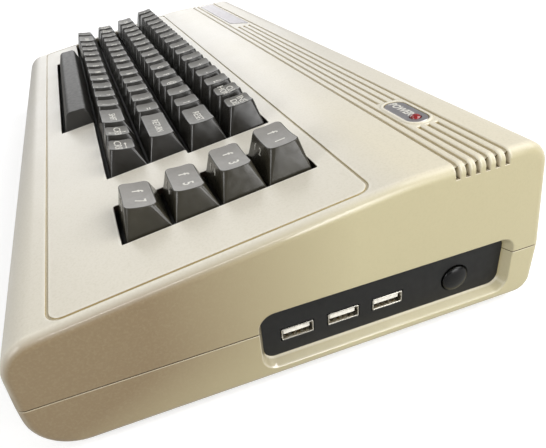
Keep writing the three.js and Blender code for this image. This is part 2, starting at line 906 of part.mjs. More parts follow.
function keyboardBoard() {
  return plate(frameOutline(0), keyboardBoardTop - keyboardBoardThickness, keyboardBoardTop);
}

// Posts under the deck that hold the keyboard frame
function framePosts() {
  const { left, right, rear } = frameEdges();
  const rearLine = rear - framePostInset;
  const frontLine = -openingGap - framePostInset - framePostRadius;
  const barEnd = (spaceBarStartShare + spaceBarWidthShare) * keyPitch;
  const places = [
    [left + framePostInset, rearLine], [(left + right) / 2, rearLine],
    [right - framePostInset, rearLine], [left + framePostInset, frontLine],
    [barEnd + keyPitch, frontLine], [right - framePostInset, frontLine],
  ];
  return places.map(([x, y]) => post(
    x, y, frameTop + fitGap, joinOverlap - wallThickness, framePostRadius, keyboard.matrix,
  ));
}

// Side panel and power button

function sideSocketPlaces() {
  const names = ['usb_socket_front', 'usb_socket_middle', 'usb_socket_rear'];
  return names.map((name, index) => ({ name, y: sideSocketStart + index * sideSocketPitch }));
}

function buildSidePanel() {
  const outline = recessOutline(recessDraft - panelOverlap);
  const left = panelBack - cutOverrun;
  const right = panelFace + cutOverrun;
  const socketHoles = sideSocketPlaces().map(({ y }) => {
    const half = usbWidth / 2 + fitGap;
    const top = boardTop + usbHeight + fitGap;
    return block([left, y - half, boardTop - fitGap], [right, y + half, top]);
  });
  const buttonHole = sidewaysPost(left, right, buttonRadius + fitGap);
  const panel = cut(lengthwise(outline, panelBack, panelFace), [...socketHoles, buttonHole]);
  addPart('side_panel', panel, blackPlastic);
  const button = addPart('power_button', powerButton(), blackPlastic);
  button.position.set(panelFace, buttonY, buttonZ);
  button.rotation.y = Math.PI / 2;
}

function sidewaysPost(left, right, radius) {
  const geometry = new THREE.CylinderGeometry(radius, radius, right - left, buttonSides);
  geometry.rotateZ(Math.PI / 2);
  geometry.translate((left + right) / 2, buttonY, buttonZ);
  return solidFrom(geometry);
}

// Domed cap with a flange behind the panel and a stem toward the switch, made about Z
function powerButton() {
  const flangeFront = -panelThickness - fitGap;
  const flangeBack = flangeFront - buttonFlangeThickness;
  const stemEnd = flangeBack - buttonStemReach;
  return turned([
    [0, stemEnd], [buttonStemRadius, stemEnd], [buttonStemRadius, flangeBack],
    [buttonFlangeRadius, flangeBack], [buttonFlangeRadius, flangeFront],
    [buttonRadius, flangeFront], ...domeProfile(buttonRadius, buttonRise, buttonDome),
  ], buttonSides);
}

// Main board and what it carries

function buildBoards() {
  addPart('main_board', mainBoard(), boardGreen);
  const usbOutline = rectangle(-usbWidth / 2, 0, usbWidth / 2, usbHeight);
  sideSocketPlaces().forEach(({ name, y }) => {
    const socket = socketSolid(usbOutline, usbDepth, usbTongueWidth, usbTongueThickness);
    addPart(name, socket, steel).position.set(panelFace + socketProud, y, boardTop);
  });
  rearSockets().forEach(({ name, x, outline, depth, tongue, thickness }) => {
    const mesh = addPart(name, socketSolid(outline, depth, tongue, thickness), steel);
    mesh.position.set(x, rearSocketFace(), boardTop);
    mesh.rotation.z = Math.PI / 2;
  });
  addPart('power_switch', powerSwitch(), blackPlastic);
  addPart('heat_sink', heatSink(), aluminium);
  addPart('keyboard_ribbon', keyboardRibbon(), ribbonPlastic);
}

function rearSocketFace() {
  return caseRear - underLean;
}

function hdmiOutline() {
  const half = hdmiWidth / 2;
  return [
    new THREE.Vector2(hdmiCorner - half, 0), new THREE.Vector2(half - hdmiCorner, 0),
    new THREE.Vector2(half, hdmiCorner), new THREE.Vector2(half, hdmiHeight),
    new THREE.Vector2(-half, hdmiHeight), new THREE.Vector2(-half, hdmiCorner),
  ];
}

function rearSockets() {
  const powerHalf = powerSocketWidth / 2;
  return [
    {
      name: 'hdmi_socket', x: hdmiX, outline: hdmiOutline(), depth: hdmiDepth,
      tongue: hdmiTongueWidth, thickness: thinTongueThickness,
    },
    {
      name: 'rear_usb_socket', x: rearUsbX, depth: usbDepth, tongue: usbTongueWidth,
      outline: rectangle(-usbWidth / 2, 0, usbWidth / 2, usbHeight),
      thickness: usbTongueThickness,
    },
    {
      name: 'power_socket', x: powerSocketX, depth: powerSocketDepth, tongue: powerTongueWidth,
      outline: rectangle(-powerHalf, 0, powerHalf, powerSocketHeight, powerSocketRadius),
      thickness: thinTongueThickness,
    },
  ];
}

// Metal socket with its mouth at the origin and a tongue inside
function socketSolid(outline, depth, tongueWidth, tongueThickness) {
  const height = Math.max(...outline.map((point) => point.y));
  const hollow = lengthwise(inset(outline, socketWall), socketBack - depth, cutOverrun);
  const tongueBottom = (height - tongueThickness) / 2;
  const tongue = block(
    [socketBack - depth - joinOverlap, -tongueWidth / 2, tongueBottom],
    [-tongueInset, tongueWidth / 2, tongueBottom + tongueThickness],
  );
  return lengthwise(outline, -depth, 0).subtract(hollow).add(tongue);
}

function rearSocketHoles() {
  return rearSockets().map(({ x, outline }) => {
    const spread = inset(outline, -fitGap);
    const ends = spread.map((point) => point.x);
    const heights = spread.map((point) => point.y);
    return block(
      [x + Math.min(...ends), boardRear, boardTop + Math.min(...heights)],
      [x + Math.max(...ends), caseRear + cutOverrun, boardTop + Math.max(...heights)],
    );
  });
}

function boardBottom() {
  return boardTop - boardThickness;
}

function mainBoard() {
  const plain = block([boardLeft, boardFront, boardBottom()], [boardRight, boardRear, boardTop]);
  const half = (ribbonWidth + connectorDepth) / 2;
  const connector = block(
    [ribbonX - half, ribbonEndY - connectorDepth / 2, boardTop - joinOverlap],
    [ribbonX + half, ribbonEndY + connectorDepth / 2, boardTop + connectorHeight],
  );
  return plain.add(connector);
}

function boardPosts() {
  const lefts = [boardLeft + boardPostInset, boardRight - boardPostInset];
  const fronts = [boardFront + boardPostInset, boardRear - boardPostInset];
  const floor = footHeight + joinOverlap;
  return lefts.flatMap((x) => fronts.map((y) => post(x, y, floor, boardBottom(), boardPostRadius)));
}

function switchFace() {
  const stemEnd = panelBack - fitGap - buttonFlangeThickness - buttonStemReach;
  return stemEnd - buttonTravel - fitGap - switchNubReach;
}

function powerSwitch() {
  const half = switchWidth / 2;
  const face = switchFace();
  const body = block(
    [face - switchDepth, buttonY - half, boardTop], [face, buttonY + half, boardTop + usbHeight],
  );
  const nub = sidewaysPost(face - joinOverlap, face + switchNubReach, switchNubRadius);
  return body.add(nub);
}

function heatSink() {
  const half = heatSinkLength / 2;
  const baseTop = boardTop + heatSinkBase;
  const base = block(
    [heatSinkX - half, heatSinkY - half, boardTop], [heatSinkX + half, heatSinkY + half, baseTop],
  );
  const pitch = (heatSinkLength - finThickness) / (heatSinkFins - 1);
  const fins = Array.from({ length: heatSinkFins }, (_, index) => {
    const left = heatSinkX - half + index * pitch;
    return block(
      [left, heatSinkY - half, baseTop - joinOverlap],
      [left + finThickness, heatSinkY + half, boardTop + heatSinkHeight],
    );
  });
  return joined([base, ...fins]);
}

// Flat cable from the underside of the keyboard board to its connector on the main board
function keyboardRibbon() {
  const startHeight = keyboardBoardTop - keyboardBoardThickness - fitGap;
  const startY = frameEdges().rear - ribbonRearInset;
  const start = new THREE.Vector3(0, startY, startHeight).applyMatrix4(keyboard.matrix);
  const end = boardTop + connectorHeight + fitGap;
  const path = new THREE.CubicBezierCurve(
    new THREE.Vector2(start.y, start.z - ribbonThickness),
    new THREE.Vector2(start.y + ribbonSlack, start.z - ribbonSlack),
    new THREE.Vector2(ribbonEndY - ribbonSlack, end + ribbonSlack),
    new THREE.Vector2(ribbonEndY, end),
  );
  const spine = path.getPoints(8);
  const half = ribbonThickness / 2;
  const side = (sign) => spine.map((point, index) => {
    const tangent = path.getTangent(index / (spine.length - 1));
    return new THREE.Vector2(point.x - tangent.y * half * sign, point.y + tangent.x * half * sign);
  });
  const outline = [...side(-1), ...side(1).reverse()];
  return lengthwise(outline, ribbonX - ribbonWidth / 2, ribbonX + ribbonWidth / 2);
}

// Feet and screws

function buildFastenersAndFeet() {
  const feet = [
    ['foot_front_left', -footX, footFrontY], ['foot_front_right', footX, footFrontY],
    ['foot_rear_left', -footX, footRearY], ['foot_rear_right', footX, footRearY],
  ];
  feet.forEach(([name, x, y]) => {
    const profile = [[0, 0], [footRadius - footTaper, 0], [footRadius, footHeight], [0, footHeight]];
    addPart(name, turned(profile, roundSides), rubber).position.set(x, y, 0);
  });
  const names = ['case_screw_left', 'case_screw_middle', 'case_screw_right'];
  screwPlaces().forEach((x, index) => {
    addPart(names[index], screw(), steel).position.set(x, screwY, footHeight + screwHeadDepth);
  });
}

// Screw whose head seats at the origin and whose shank points up
function screw() {
  const shankEnd = seamHeight + screwReach - footHeight - screwHeadDepth;
  return turned([
    [0, -screwHeadHeight], [screwHeadRadius, -screwHeadHeight], [screwHeadRadius, -fitGap / 2],
    [screwShankRadius, -fitGap / 2], [screwShankRadius, shankEnd], [0, shankEnd],
  ], roundSides);
}
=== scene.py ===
"""Home computer: the looks that go around its fixed frame."""

import json
from math import cos, pi, radians, sin, tan

import bmesh
import bpy
from bpy.props import FloatProperty, FloatVectorProperty, IntProperty, PointerProperty
from mathutils import Matrix, Vector

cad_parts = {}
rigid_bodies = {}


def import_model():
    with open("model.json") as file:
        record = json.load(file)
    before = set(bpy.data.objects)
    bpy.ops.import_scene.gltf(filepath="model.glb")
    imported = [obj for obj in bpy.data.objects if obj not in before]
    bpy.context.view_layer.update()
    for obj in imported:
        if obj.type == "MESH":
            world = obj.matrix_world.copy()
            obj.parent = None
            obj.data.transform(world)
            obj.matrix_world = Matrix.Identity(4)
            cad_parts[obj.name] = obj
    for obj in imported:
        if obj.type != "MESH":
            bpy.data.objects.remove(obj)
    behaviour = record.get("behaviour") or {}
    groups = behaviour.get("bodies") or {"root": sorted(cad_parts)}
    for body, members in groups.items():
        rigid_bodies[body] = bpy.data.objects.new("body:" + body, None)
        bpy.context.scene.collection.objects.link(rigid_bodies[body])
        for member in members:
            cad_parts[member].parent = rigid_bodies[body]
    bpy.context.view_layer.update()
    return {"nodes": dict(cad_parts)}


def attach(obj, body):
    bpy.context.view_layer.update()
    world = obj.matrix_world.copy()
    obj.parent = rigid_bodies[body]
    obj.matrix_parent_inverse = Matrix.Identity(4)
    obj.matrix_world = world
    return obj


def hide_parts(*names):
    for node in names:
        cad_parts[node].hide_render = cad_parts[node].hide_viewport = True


bl_info = {
    "name": "Home Computer",
    "version": (1, 0, 0),
    "blender": (4, 5, 0),
    "location": "3D View > Sidebar > Computer",
    "description": "Builds a home computer with a full keyboard",
    "category": "Object",
}

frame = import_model()

# Sizes of the case in millimetres, as in the frame
MM = 0.001
CASE_SIDE = 202
CASE_FRONT, CASE_REAR = -104, 104
WALL = 2.6
END_RADIUS = 4
FOOT_HEIGHT = 3
SEAM_HEIGHT = 27.5
SEAM_GAP = 0.3
SEAM_CLEAR = 0.3  # points this near the seam would spoil its rounding
FRONT_LEAN, REAR_LEAN, UNDER_LEAN = 0.8, 6, 0.5
NOSE_RADIUS = 15
BEND_RADIUS = 150
REAR_TOP_RADIUS = 11
REAR_UNDER_RADIUS, FRONT_UNDER_RADIUS = 8, 19
DECK_ANGLE = radians(8.17)
REAR_DECK_ANGLE = radians(1.7)
FIT_GAP = 0.3
OVERRUN = 2  # how far a cutter goes past what it cuts

# Keyboard field
PITCH = 19.05
KEYBOARD_X, KEYBOARD_Y = -188.5, -56.6
DECK_HEIGHT = 60
BEND_INSET = 97
BEND_Y = KEYBOARD_Y + BEND_INSET
BEND_Z = DECK_HEIGHT + BEND_INSET * tan(DECK_ANGLE)
OPENING_GAP = 1.1
OPENING_TOP = 3
BORDER = (-8, -29.4, 18.78 * PITCH + 28.4, 4 * PITCH + 9.9)
BORDER_RADIUS = 6
BORDER_WIDTH, BORDER_DEPTH = 0.9, 0.6

# Caps
CAP_GAP = 0.45
CAP_SIDE_INSET = 3.57
CAP_EDGE = 0.4
CAP_SPREAD = 0.1
CAP_WALL = 1.5
CAP_ROOF = 2.6
CAP_CORNER, FUNCTION_CORNER = 2.1, 2.7
FOOT_CORNER, INNER_CORNER = 0.6, 0.8
CORNER_STEPS, SIDE_PARTS = 4, 4
SIDE_SHARES = (0.04, 0.5, 0.97)  # rings of the sides, from the foot to the top
BOWL_SHARES = (0.9, 0.75, 0.58, 0.4, 0.2)  # rings of the dish, from the rim to the middle
SKIRT_DROP = 1.6
PLUNGER_HALF = 2.8
PLUNGER_REACH, PLUNGER_SINK = 13.2, 0.4
TIE_TOP, TIE_THICKNESS, TIE_HALF = -2, 1.2, 1.5

# Shares of the key pitch: front and rear inset, front and rear height, from the front line to the rear one
CAP_SHARES = [
    (0.268, 0.152, 0.572, 0.42), (0.262, 0.157, 0.514, 0.43), (0.247, 0.142, 0.551, 0.52), (0.278, 0.1, 0.625, 0.625)]
BAR_SHARES = (0.3, 0.13, 0.46, 0.43)
FUNCTION_FORWARD = 0.035

# Key lines: start of the line, then the frame's node, the width of its caps and the words of each
KEY_LINES = [
    (-0.25, [
        ("blank_key", 1, [""]), ("left_shift_key", 1.5, ["SHIFT"]), ("z_to_m_keys", 1, "ZXCVBNM"),
        ("comma_key", 1, ["<|,"]), ("period_key", 1, [">|."]), ("slash_key", 1, ["?|/"]),
        ("right_shift_key", 1.5, ["SHIFT"]), ("cursor_down_key", 1, ["^|CRSR|v"]), ("cursor_right_key", 1, ["=|CRSR"]),
    ]),
    (-0.25, [
        ("run_stop_key", 1, ["RUN|STOP"]), ("shift_lock_key", 1, ["SHIFT|LOCK"]), ("a_to_l_keys", 1, "ASDFGHJKL"),
        ("colon_key", 1, ["[|:"]), ("semicolon_key", 1, ["]|;"]), ("equals_key", 1, ["="]),
        ("return_key", 2, ["RETURN"]),
    ]),
    (0, [
        ("control_key", 1.5, ["CTRL"]), ("q_to_p_keys", 1, "QWERTYUIOP"), ("at_key", 1, "@"), ("asterisk_key", 1, "*"),
        ("arrow_key", 1, "^"), ("reset_key", 1.5, ["RESET"]),
    ]),
    (0, [
        ("number_keys", 1, ["~"] + [f"{top}|{digit}" for top, digit in zip("!\"#$%&'() ", "1234567890")]),
        ("plus_key", 1, "+"), ("minus_key", 1, "-"), ("pound_key", 1, "£"), ("clear_home_key", 1, ["CLR|HOME"]),
        ("insert_delete_key", 1, ["INST|DEL"]),
    ]),
]
ARROWS = {"^": 90, "v": 270, "~": 180}
ARROW_SPREAD = 1.9
LETTER_RAISED, LETTER_SUNK = 0.05, 0.12
FONT_SCALE = 1.38  # font size for a capital of height 1
LINE_STEP, TWO_LINES, THREE_LINES = 0.27, 1.15, 0.9  # between lines of words, as a share of the cap's top
SMALL_LETTER, LETTER_WIDTH, WORD_MARGIN = 0.78, 0.78, 1.6
FRONT_WORD_LEVEL, FRONT_WORD_SIZE = 0.66, 0.75
FUNCTION_KEYS = [("f7_key", "7", "8"), ("f5_key", "5", "6"), ("f3_key", "3", "4"), ("f1_key", "1", "2")]
FUNCTION_START, FUNCTION_WIDTH = 17.28, 1.5
BAR_START, BAR_WIDTH, BAR_GUIDE = 2.5, 9, 3

# Rear deck
VENT_COUNT = 6
VENT_INSET, VENT_PITCH = 18.5, 4.13
VENT_HALF, VENT_FLARE, VENT_DEPTH = 0.75, 0.85, 1.1
VENT_END_DEPTH, VENT_END_DROP, VENT_END_LIP = 3.4, 5.6, 0.2
DEEP_FROM = 3  # of the 8 steps round the end
SHORT_VENTS = (2, 3, 4)
GROOVE_LIFT = 1.5
BADGE_LINE = VENT_INSET + 3 * VENT_PITCH
BADGE_THICKNESS, BADGE_RISE, BADGE_EDGE = 0.8, 0.2, 0.15
BADGE_SEAT = BADGE_RISE - BADGE_THICKNESS - FIT_GAP
POWER_BADGE_X = 150
POWER_BADGE_HALF = (12.5, 5)
POWER_RIM, POWER_MARGIN = 1.9, 0.5
# Section of the rim: share of its width, height
RIM_SECTION = [(0, -1.4), (0, 0.1), (0.12, 0.38), (0.35, 0.5), (0.6, 0.46), (0.85, 0.25), (1, -0.05), (1, -1.4)]
LAMP_X = POWER_BADGE_X + 7.2
LAMP_RADIUS, LAMP_RISE, LAMP_REACH = 2.4, 1.4, 5
NAME_BADGE = (-191, -91.5)
NAME_SLANT, NAME_HALF, NAME_MARGIN = 11, 5.8, 4

# Recess in the right end
RECESS = (-19.552, 8.2, 90.2, 35.4)
RECESS_RADIUS, RECESS_DEPTH, RECESS_DRAFT, RECESS_WALL = 6.5, 4.5, 1.9, 2.4
RECESS_RIM, RIM_SPREAD = 0.5, 0.8
PANEL_THICKNESS, PANEL_OVERLAP, PANEL_LIP = 2, 1.2, 1.4
PANEL_FACE = CASE_SIDE - RECESS_DEPTH
PANEL_BACK = PANEL_FACE - PANEL_THICKNESS

# Sockets and button. A socket's inside: depth, then half width, low and high of its tongue, and its pins
BOARD_TOP = 16.6
USB_HALF, USB_HEIGHT = 6.6, 5.4
USB_INSIDE = (14, 5.5, 1.7, 4.5, 4)
HDMI_INSIDE = (11, 5.5, 2.6, 3.4, 10)
POWER_INSIDE = (7.5, 3.2, 1.3, 2.1, 6)
SIDE_SOCKETS = [("usb_socket_front", -3.298), ("usb_socket_middle", 16.052), ("usb_socket_rear", 35.401)]
SOCKET_PROUD, SOCKET_WALL, SOCKET_EDGE = 0.2, 0.5, 0.12
REAR_FACE = CASE_REAR - UNDER_LEAN
HDMI_X, REAR_USB_X, POWER_SOCKET_X = 126, 152, 176
BUTTON_Y, BUTTON_Z = 66.494, BOARD_TOP + USB_HEIGHT / 2 + 0.4
BUTTON_RADIUS, BUTTON_FLANGE, BUTTON_STEM = 5.8, 7.1, 2.2
BUTTON_RISE, BUTTON_DOME = 0.6, 1.5

# Underside
FEET = [("foot_front_left", -172, -76), ("foot_front_right", 172, -76),
        ("foot_rear_left", -172, 79), ("foot_rear_right", 172, 79)]
FOOT_RADIUS = 7.5
SCREWS = [("case_screw_left", -150), ("case_screw_middle", 0), ("case_screw_right", 150)]
SCREW_Y, SCREW_HEAD, SCREW_DEPTH = -91, 3.4, 4
BOSS_RADIUS, SCREW_WELL, SCREW_BORE, SLOT_HALF = 5, 4.1, 1.8, 1.7



def moved(x, y, z, turn=0.0, axis="X"):
    """Matrix that turns about an axis, then moves."""
    return Matrix.Translation((x, y, z)) @ Matrix.Rotation(turn, 4, axis)


UP = Vector((0, 0, 1))
KEYBOARD = moved(KEYBOARD_X, KEYBOARD_Y, DECK_HEIGHT, DECK_ANGLE)
REAR_DECK = moved(0, BEND_Y, BEND_Z, REAR_DECK_ANGLE)
LAMP_PLACE = moved(LAMP_X, BADGE_LINE, 0)
BUTTON_PLACE = moved(PANEL_FACE, BUTTON_Y, BUTTON_Z, pi / 2, "Y")

# Camera, in metres and in pixels of the photograph
PHOTO_SIZE = (546, 448)
PHOTO_CENTRE = (251.517, 221.703)
CAMERA_PLACE = (0.333306, -0.052556, 0.160582)
CAMERA_RIGHT = Vector((0.32278952734, 0.94039208, -0.1070964841))
CAMERA_DOWN = Vector((0.47607994127, -0.25911877869, -0.84036024897))
CAMERA_AHEAD = Vector((-0.81801883265, 0.2202729997, -0.53134263431))

# Lights: name, place, target, size, the setting of its power, and the height of a long one
LIGHTS = [
    ("rear_light", (0.55, 0.95, 1.0), (0, 0.05, 0.05), 1.1, "sun_power", None),
    ("side_light", (0.85, 0.32, 0.24), (0.2, 0.05, 0.04), 0.45, "fill_power", None),
    ("front_light", (0.45, -0.85, 0.36), (0.15, -0.05, 0.06), 0.4, "front_power", None),
    ("edge_light", (0.85, -0.15, 0.55), (0.2, -0.05, 0.06), 0.9, "edge_power", 0.035),
    ("left_light", (-1.2, 0, 0.62), (0, 0, 0.06), 1.1, "left_power", None),
]
FLOOR_GLOW = 0.55


# Settings


def srgb(*color):
    """Linear colour from the 0 to 255 values a screen shows."""
    return tuple(((c / 255 + 0.055) / 1.055) ** 2.4 if c > 10 else c / 3294 for c in color)


def length(name, description, default, low, high):
    return FloatProperty(
        name=name, description=description, default=default, min=low, max=high, subtype="DISTANCE", unit="LENGTH")


def tint(name, description, *color):
    return FloatVectorProperty(
        name=name, description="Colour of " + description, default=srgb(*color), min=0, max=1, subtype="COLOR")


def power(name, description, default):
    return FloatProperty(
        name=name, description="Power of the " + description, default=default, min=0, max=500, unit="POWER")


class ShellSettings(bpy.types.PropertyGroup):
    edge_radius: length("Edge radius", "Rounding of the edges round each opening", 0.0004, 0.0001, 0.001)
    seam_radius: length("Seam radius", "Rounding of the two halves along their seam", 0.0004, 0.0001, 0.001)
    color: tint("Colour", "the shell plastic", 224, 220, 211)
    # Used for the yellowed flecks, and as painted shade on the ends of the case and the recess walls.
    aged_and_shaded_color: tint("Aged colour", "the shell where it has yellowed", 182, 173, 138)
    # Also the slow random tone. Its rise toward the right end is painted warm shading.
    tone_and_warm_shade_color: tint("Sunlit colour", "the top of the shell toward the end that the sun reached", 220, 212, 190)
    # Painted shade on the ends of the case, darker toward the front, and on the recess walls.
    end_shade_color: tint("Handled colour", "the shell toward the front of its ends, where hands rest", 130, 112, 84)
    # Dust and painted shade in the grooves, laid where occlusion is high.
    groove_dust_and_shade_color: tint("Groove colour", "the dust in the grooves", 160, 138, 72)
    # Painted highlight along upward-facing convex edges.
    edge_highlight_color: tint("Rubbed colour", "the shell along edges that have been rubbed clean", 248, 245, 234)
    # Dirt and painted shade deep in slots and seams, and painted shade on the walls of the key openings.
    crevice_dirt_and_shade_color: tint("Crevice colour", "the dirt deep in slots and seams", 70, 55, 44)
    grain: length("Grain depth", "Depth of the moulded grain", 0.00003, 0, 0.0002)


class KeySettings(bpy.types.PropertyGroup):
    dish_across: length("Dish across", "Depth of the hollow across each cap", 0.0011, 0, 0.0015)
    dish_along: length("Dish along", "Depth of the hollow from front to rear of each cap", 0.0005, 0, 0.0015)
    letter_size: length("Letter size", "Height of a single letter on a cap", 0.0042, 0.002, 0.007)
    word_size: length("Word size", "Height of the letters of a word on a cap", 0.0033, 0.001, 0.005)
    color: tint("Cap colour", "the letter and number caps", 37, 35, 31)
    # Painted light: the cap tops are painted lighter than the sides for the light they catch.
    lit_top_color: tint("Cap top colour", "the worn tops of the letter and number caps", 95, 93, 88)
    function_color: tint("Function cap colour", "the function caps", 50, 47, 38)
    # Painted light: the function cap tops are painted lighter than the sides for the light they catch.
    function_lit_top: tint("Function top colour", "the worn tops of the function caps", 125, 122, 117)
    legend_color: tint("Legend colour", "the letters", 216, 213, 204)


class FittingSettings(bpy.types.PropertyGroup):
    panel_color: tint("Panel colour", "the black panel and button", 20, 20, 19)
    badge_color: tint("Badge colour", "the badge plates", 184, 181, 184)
    lamp_color: tint("Lamp colour", "the lamp's lens", 158, 3, 12)
    metal_color: tint("Metal colour", "the plated sockets and screws", 206, 202, 192)
    round_steps: IntProperty(
        name="Round steps", description="Number of flat steps round the button, lamp and feet",
        default=64, min=16, max=128)


class StageSettings(bpy.types.PropertyGroup):
    lens: FloatProperty(
        name="Lens", description="Focal length of the camera", default=34.07, min=10, max=200, unit="CAMERA")
    sun_power: power("Rear light", "large light above the rear", 15.1)
    fill_power: power("Side light", "light at the right", 2.6)
    left_power: power("Left light", "light at the left, which the caps reflect", 4.9)
    edge_power: power("Edge light", "narrow light that draws the edge of the right end", 0.55)
    front_power: power("Front light", "light in front, which draws the near edges", 2.6)
    sky: FloatProperty(
        name="Surrounding light", description="Strength of the even light all round", default=0.42, min=0, max=3)
    floor_color: FloatVectorProperty(
        name="Floor colour", description="Colour of the floor", default=(0.6, 0.6, 0.6), min=0, max=1, subtype="COLOR")


# Outlines and meshes, in millimetres


def quarter(steps):
    """Sine and cosine at each step of a quarter turn."""
    return [(sin(pi / 2 * step / steps), cos(pi / 2 * step / steps)) for step in range(steps + 1)]


def rounded_outline(corners):
    """Outline points, with an arc at each corner that has a radius. A corner is (x, y, radius, steps)."""
    points = []
    for index, (x, y, radius, steps) in enumerate(corners):
        corner = Vector((x, y))
        if not radius:
            points.append(corner)
            continue
        to_last = (Vector(corners[index - 1][:2]) - corner).normalized()
        to_next = (Vector(corners[(index + 1) % len(corners)][:2]) - corner).normalized()
        half = to_last.angle(to_next) / 2
        centre = corner + (to_last + to_next).normalized() * (radius / sin(half))
        start = corner + to_last * (radius / tan(half)) - centre
        turn = (pi - 2 * half) * (1 if to_next.cross(to_last) > 0 else -1)
        points += [centre + Matrix.Rotation(turn * step / steps, 2) @ start for step in range(steps + 1)]
    return points


def rectangle(left, front, right, rear, radius=0, steps=6):
    corners = [(left, front), (right, front), (right, rear), (left, rear)]
    return rounded_outline([(x, y, radius, steps) for x, y in corners])


def inset(outline, distance):
    """The same outline drawn in, or out where the distance is negative."""
    moved = []
    for index, point in enumerate(outline):
        arriving = (point - outline[index - 1]).normalized()
        leaving = (outline[(index + 1) % len(outline)] - point).normalized()
        arriving_in = Vector((-arriving.y, arriving.x))
        leaving_in = Vector((-leaving.y, leaving.x))
        moved.append(point + (arriving_in + leaving_in) * (distance / (1 + arriving_in.dot(leaving_in))))
    return moved


def skin(bm, low, high, slot=0):
    """Faces between two rows of vertices."""
    count = len(low)
    for i in range(count):
        face = bm.faces.new((low[i], low[(i + 1) % count], high[(i + 1) % count], high[i]))
        face.material_index = slot


def fan(bm, row, tip, slot=0):
    """Faces between a row of vertices and one vertex."""
    for i, vertex in enumerate(row):
        bm.faces.new((vertex, row[(i + 1) % len(row)], tip)).material_index = slot


def add_loft(bm, rings, slot=0, first=True, last=True, closed=False):
    """Skin through rings of points. Its first and last rings are filled, or joined where it is closed."""
    rows = [[bm.verts.new(point) for point in ring] for ring in rings]
    for low, high in zip(rows, rows[1:] + rows[:1] if closed else rows[1:]):
        skin(bm, low, high, slot)
    if first and not closed:
        bm.faces.new(rows[0][::-1]).material_index = slot
    if last and not closed:
        bm.faces.new(rows[-1]).material_index = slot
    return rows


def at_height(outline, z):
    return [Vector((x, y, z)) for x, y in outline]


def stacked(outline, *sections):
    """Rings of an outline. Each is drawn in by a distance, at a height."""
    return [at_height(inset(outline, distance), z) for distance, z in sections]


def prism(outline, low, high):
    """Rings of an outline at two heights."""
    return stacked(outline, (0, low), (0, high))


def lined_up(outline, *sections):
    """Rings of an outline in Y and Z. Each is drawn in by a distance, at an X."""
    return [[Vector((x, y, z)) for y, z in inset(outline, distance)] for distance, x in sections]


def turned_rings(profile, steps):
    """Rings about Z from (radius, height) points."""
    turns = [2 * pi * step / steps for step in range(steps)]
    return [[Vector((r * cos(a), r * sin(a), z)) for a in turns] for r, z in profile]


def placed(bm, matrix=None):
    """The mesh moved to its place, with its faces outward."""
    if matrix:
        bm.transform(matrix)
    bmesh.ops.recalc_face_normals(bm, faces=bm.faces)
    return bm


def solid(rings, matrix=None, closed=False):
    """A closed mesh through the rings."""
    bm = bmesh.new()
    add_loft(bm, rings, closed=closed)
    return placed(bm, matrix)


def turned_solid(profile, steps, matrix=None):
    """A round solid about Z whose first and last point lie on the axis."""
    bm = bmesh.new()
    rows = add_loft(bm, turned_rings(profile[1:-1], steps), first=False, last=False)
    for row, (_, height) in ((rows[0], profile[0]), (rows[-1], profile[-1])):
        fan(bm, row, bm.verts.new((0, 0, height)))
    return placed(bm, matrix)


def add_object(name, data):
    made = bpy.data.objects.new(name, data)
    bpy.context.scene.collection.objects.link(made)
    return made


def as_mesh(bm, name):
    mesh = bpy.data.meshes.new(name)
    bm.to_mesh(mesh)
    bm.free()
    return mesh


def taken(source, *spare):
    """The mesh of an object with its modifiers. The object and the spare ones are removed."""
    mesh = bpy.data.meshes.new_from_object(source.evaluated_get(bpy.context.evaluated_depsgraph_get()))
    bm = bmesh.new()
    bm.from_mesh(mesh)
    bpy.data.batch_remove([mesh] + [item.data for item in (source, *spare)])
    return bm


def combine(bm, other, operation):
    """The first mesh with the second one cut out, added to it, or kept only where both are."""
    body, tool = (add_object("scratch", as_mesh(item, "scratch")) for item in (bm, other))
    modifier = body.modifiers.new("combine", "BOOLEAN")
    modifier.operation = operation
    modifier.solver = "MANIFOLD"
    modifier.object = tool
    result = taken(body, tool)
    if not result.faces:
        raise RuntimeError("a cut left nothing")
    return result


def carve(bm, tools):
    for tool in tools:
        bm = combine(bm, tool, "DIFFERENCE")
    return bm


def finish_piece(bm, name, materials, node, body="case", angle=35):
    """Turns a mesh in millimetres into a named piece that replaces a node and rides on a body."""
    bmesh.ops.remove_doubles(bm, verts=bm.verts, dist=0.0005)
    bmesh.ops.dissolve_degenerate(bm, edges=bm.edges, dist=0.0005)
    many_sided = [face for face in bm.faces if len(face.verts) > 4]
    bmesh.ops.triangulate(bm, faces=many_sided, quad_method="BEAUTY", ngon_method="BEAUTY")
    bm.transform(Matrix.Scale(MM, 4))
    mesh = as_mesh(bm, name)
    for material in materials:
        mesh.materials.append(material)
    piece = add_object(name, mesh)
    mesh.shade_smooth()
    mesh.set_sharp_from_angle(angle=radians(angle))
    piece.modifiers.new("even shading", "WEIGHTED_NORMAL").keep_sharp = True
    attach(piece, body)
    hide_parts(node)


# Materials


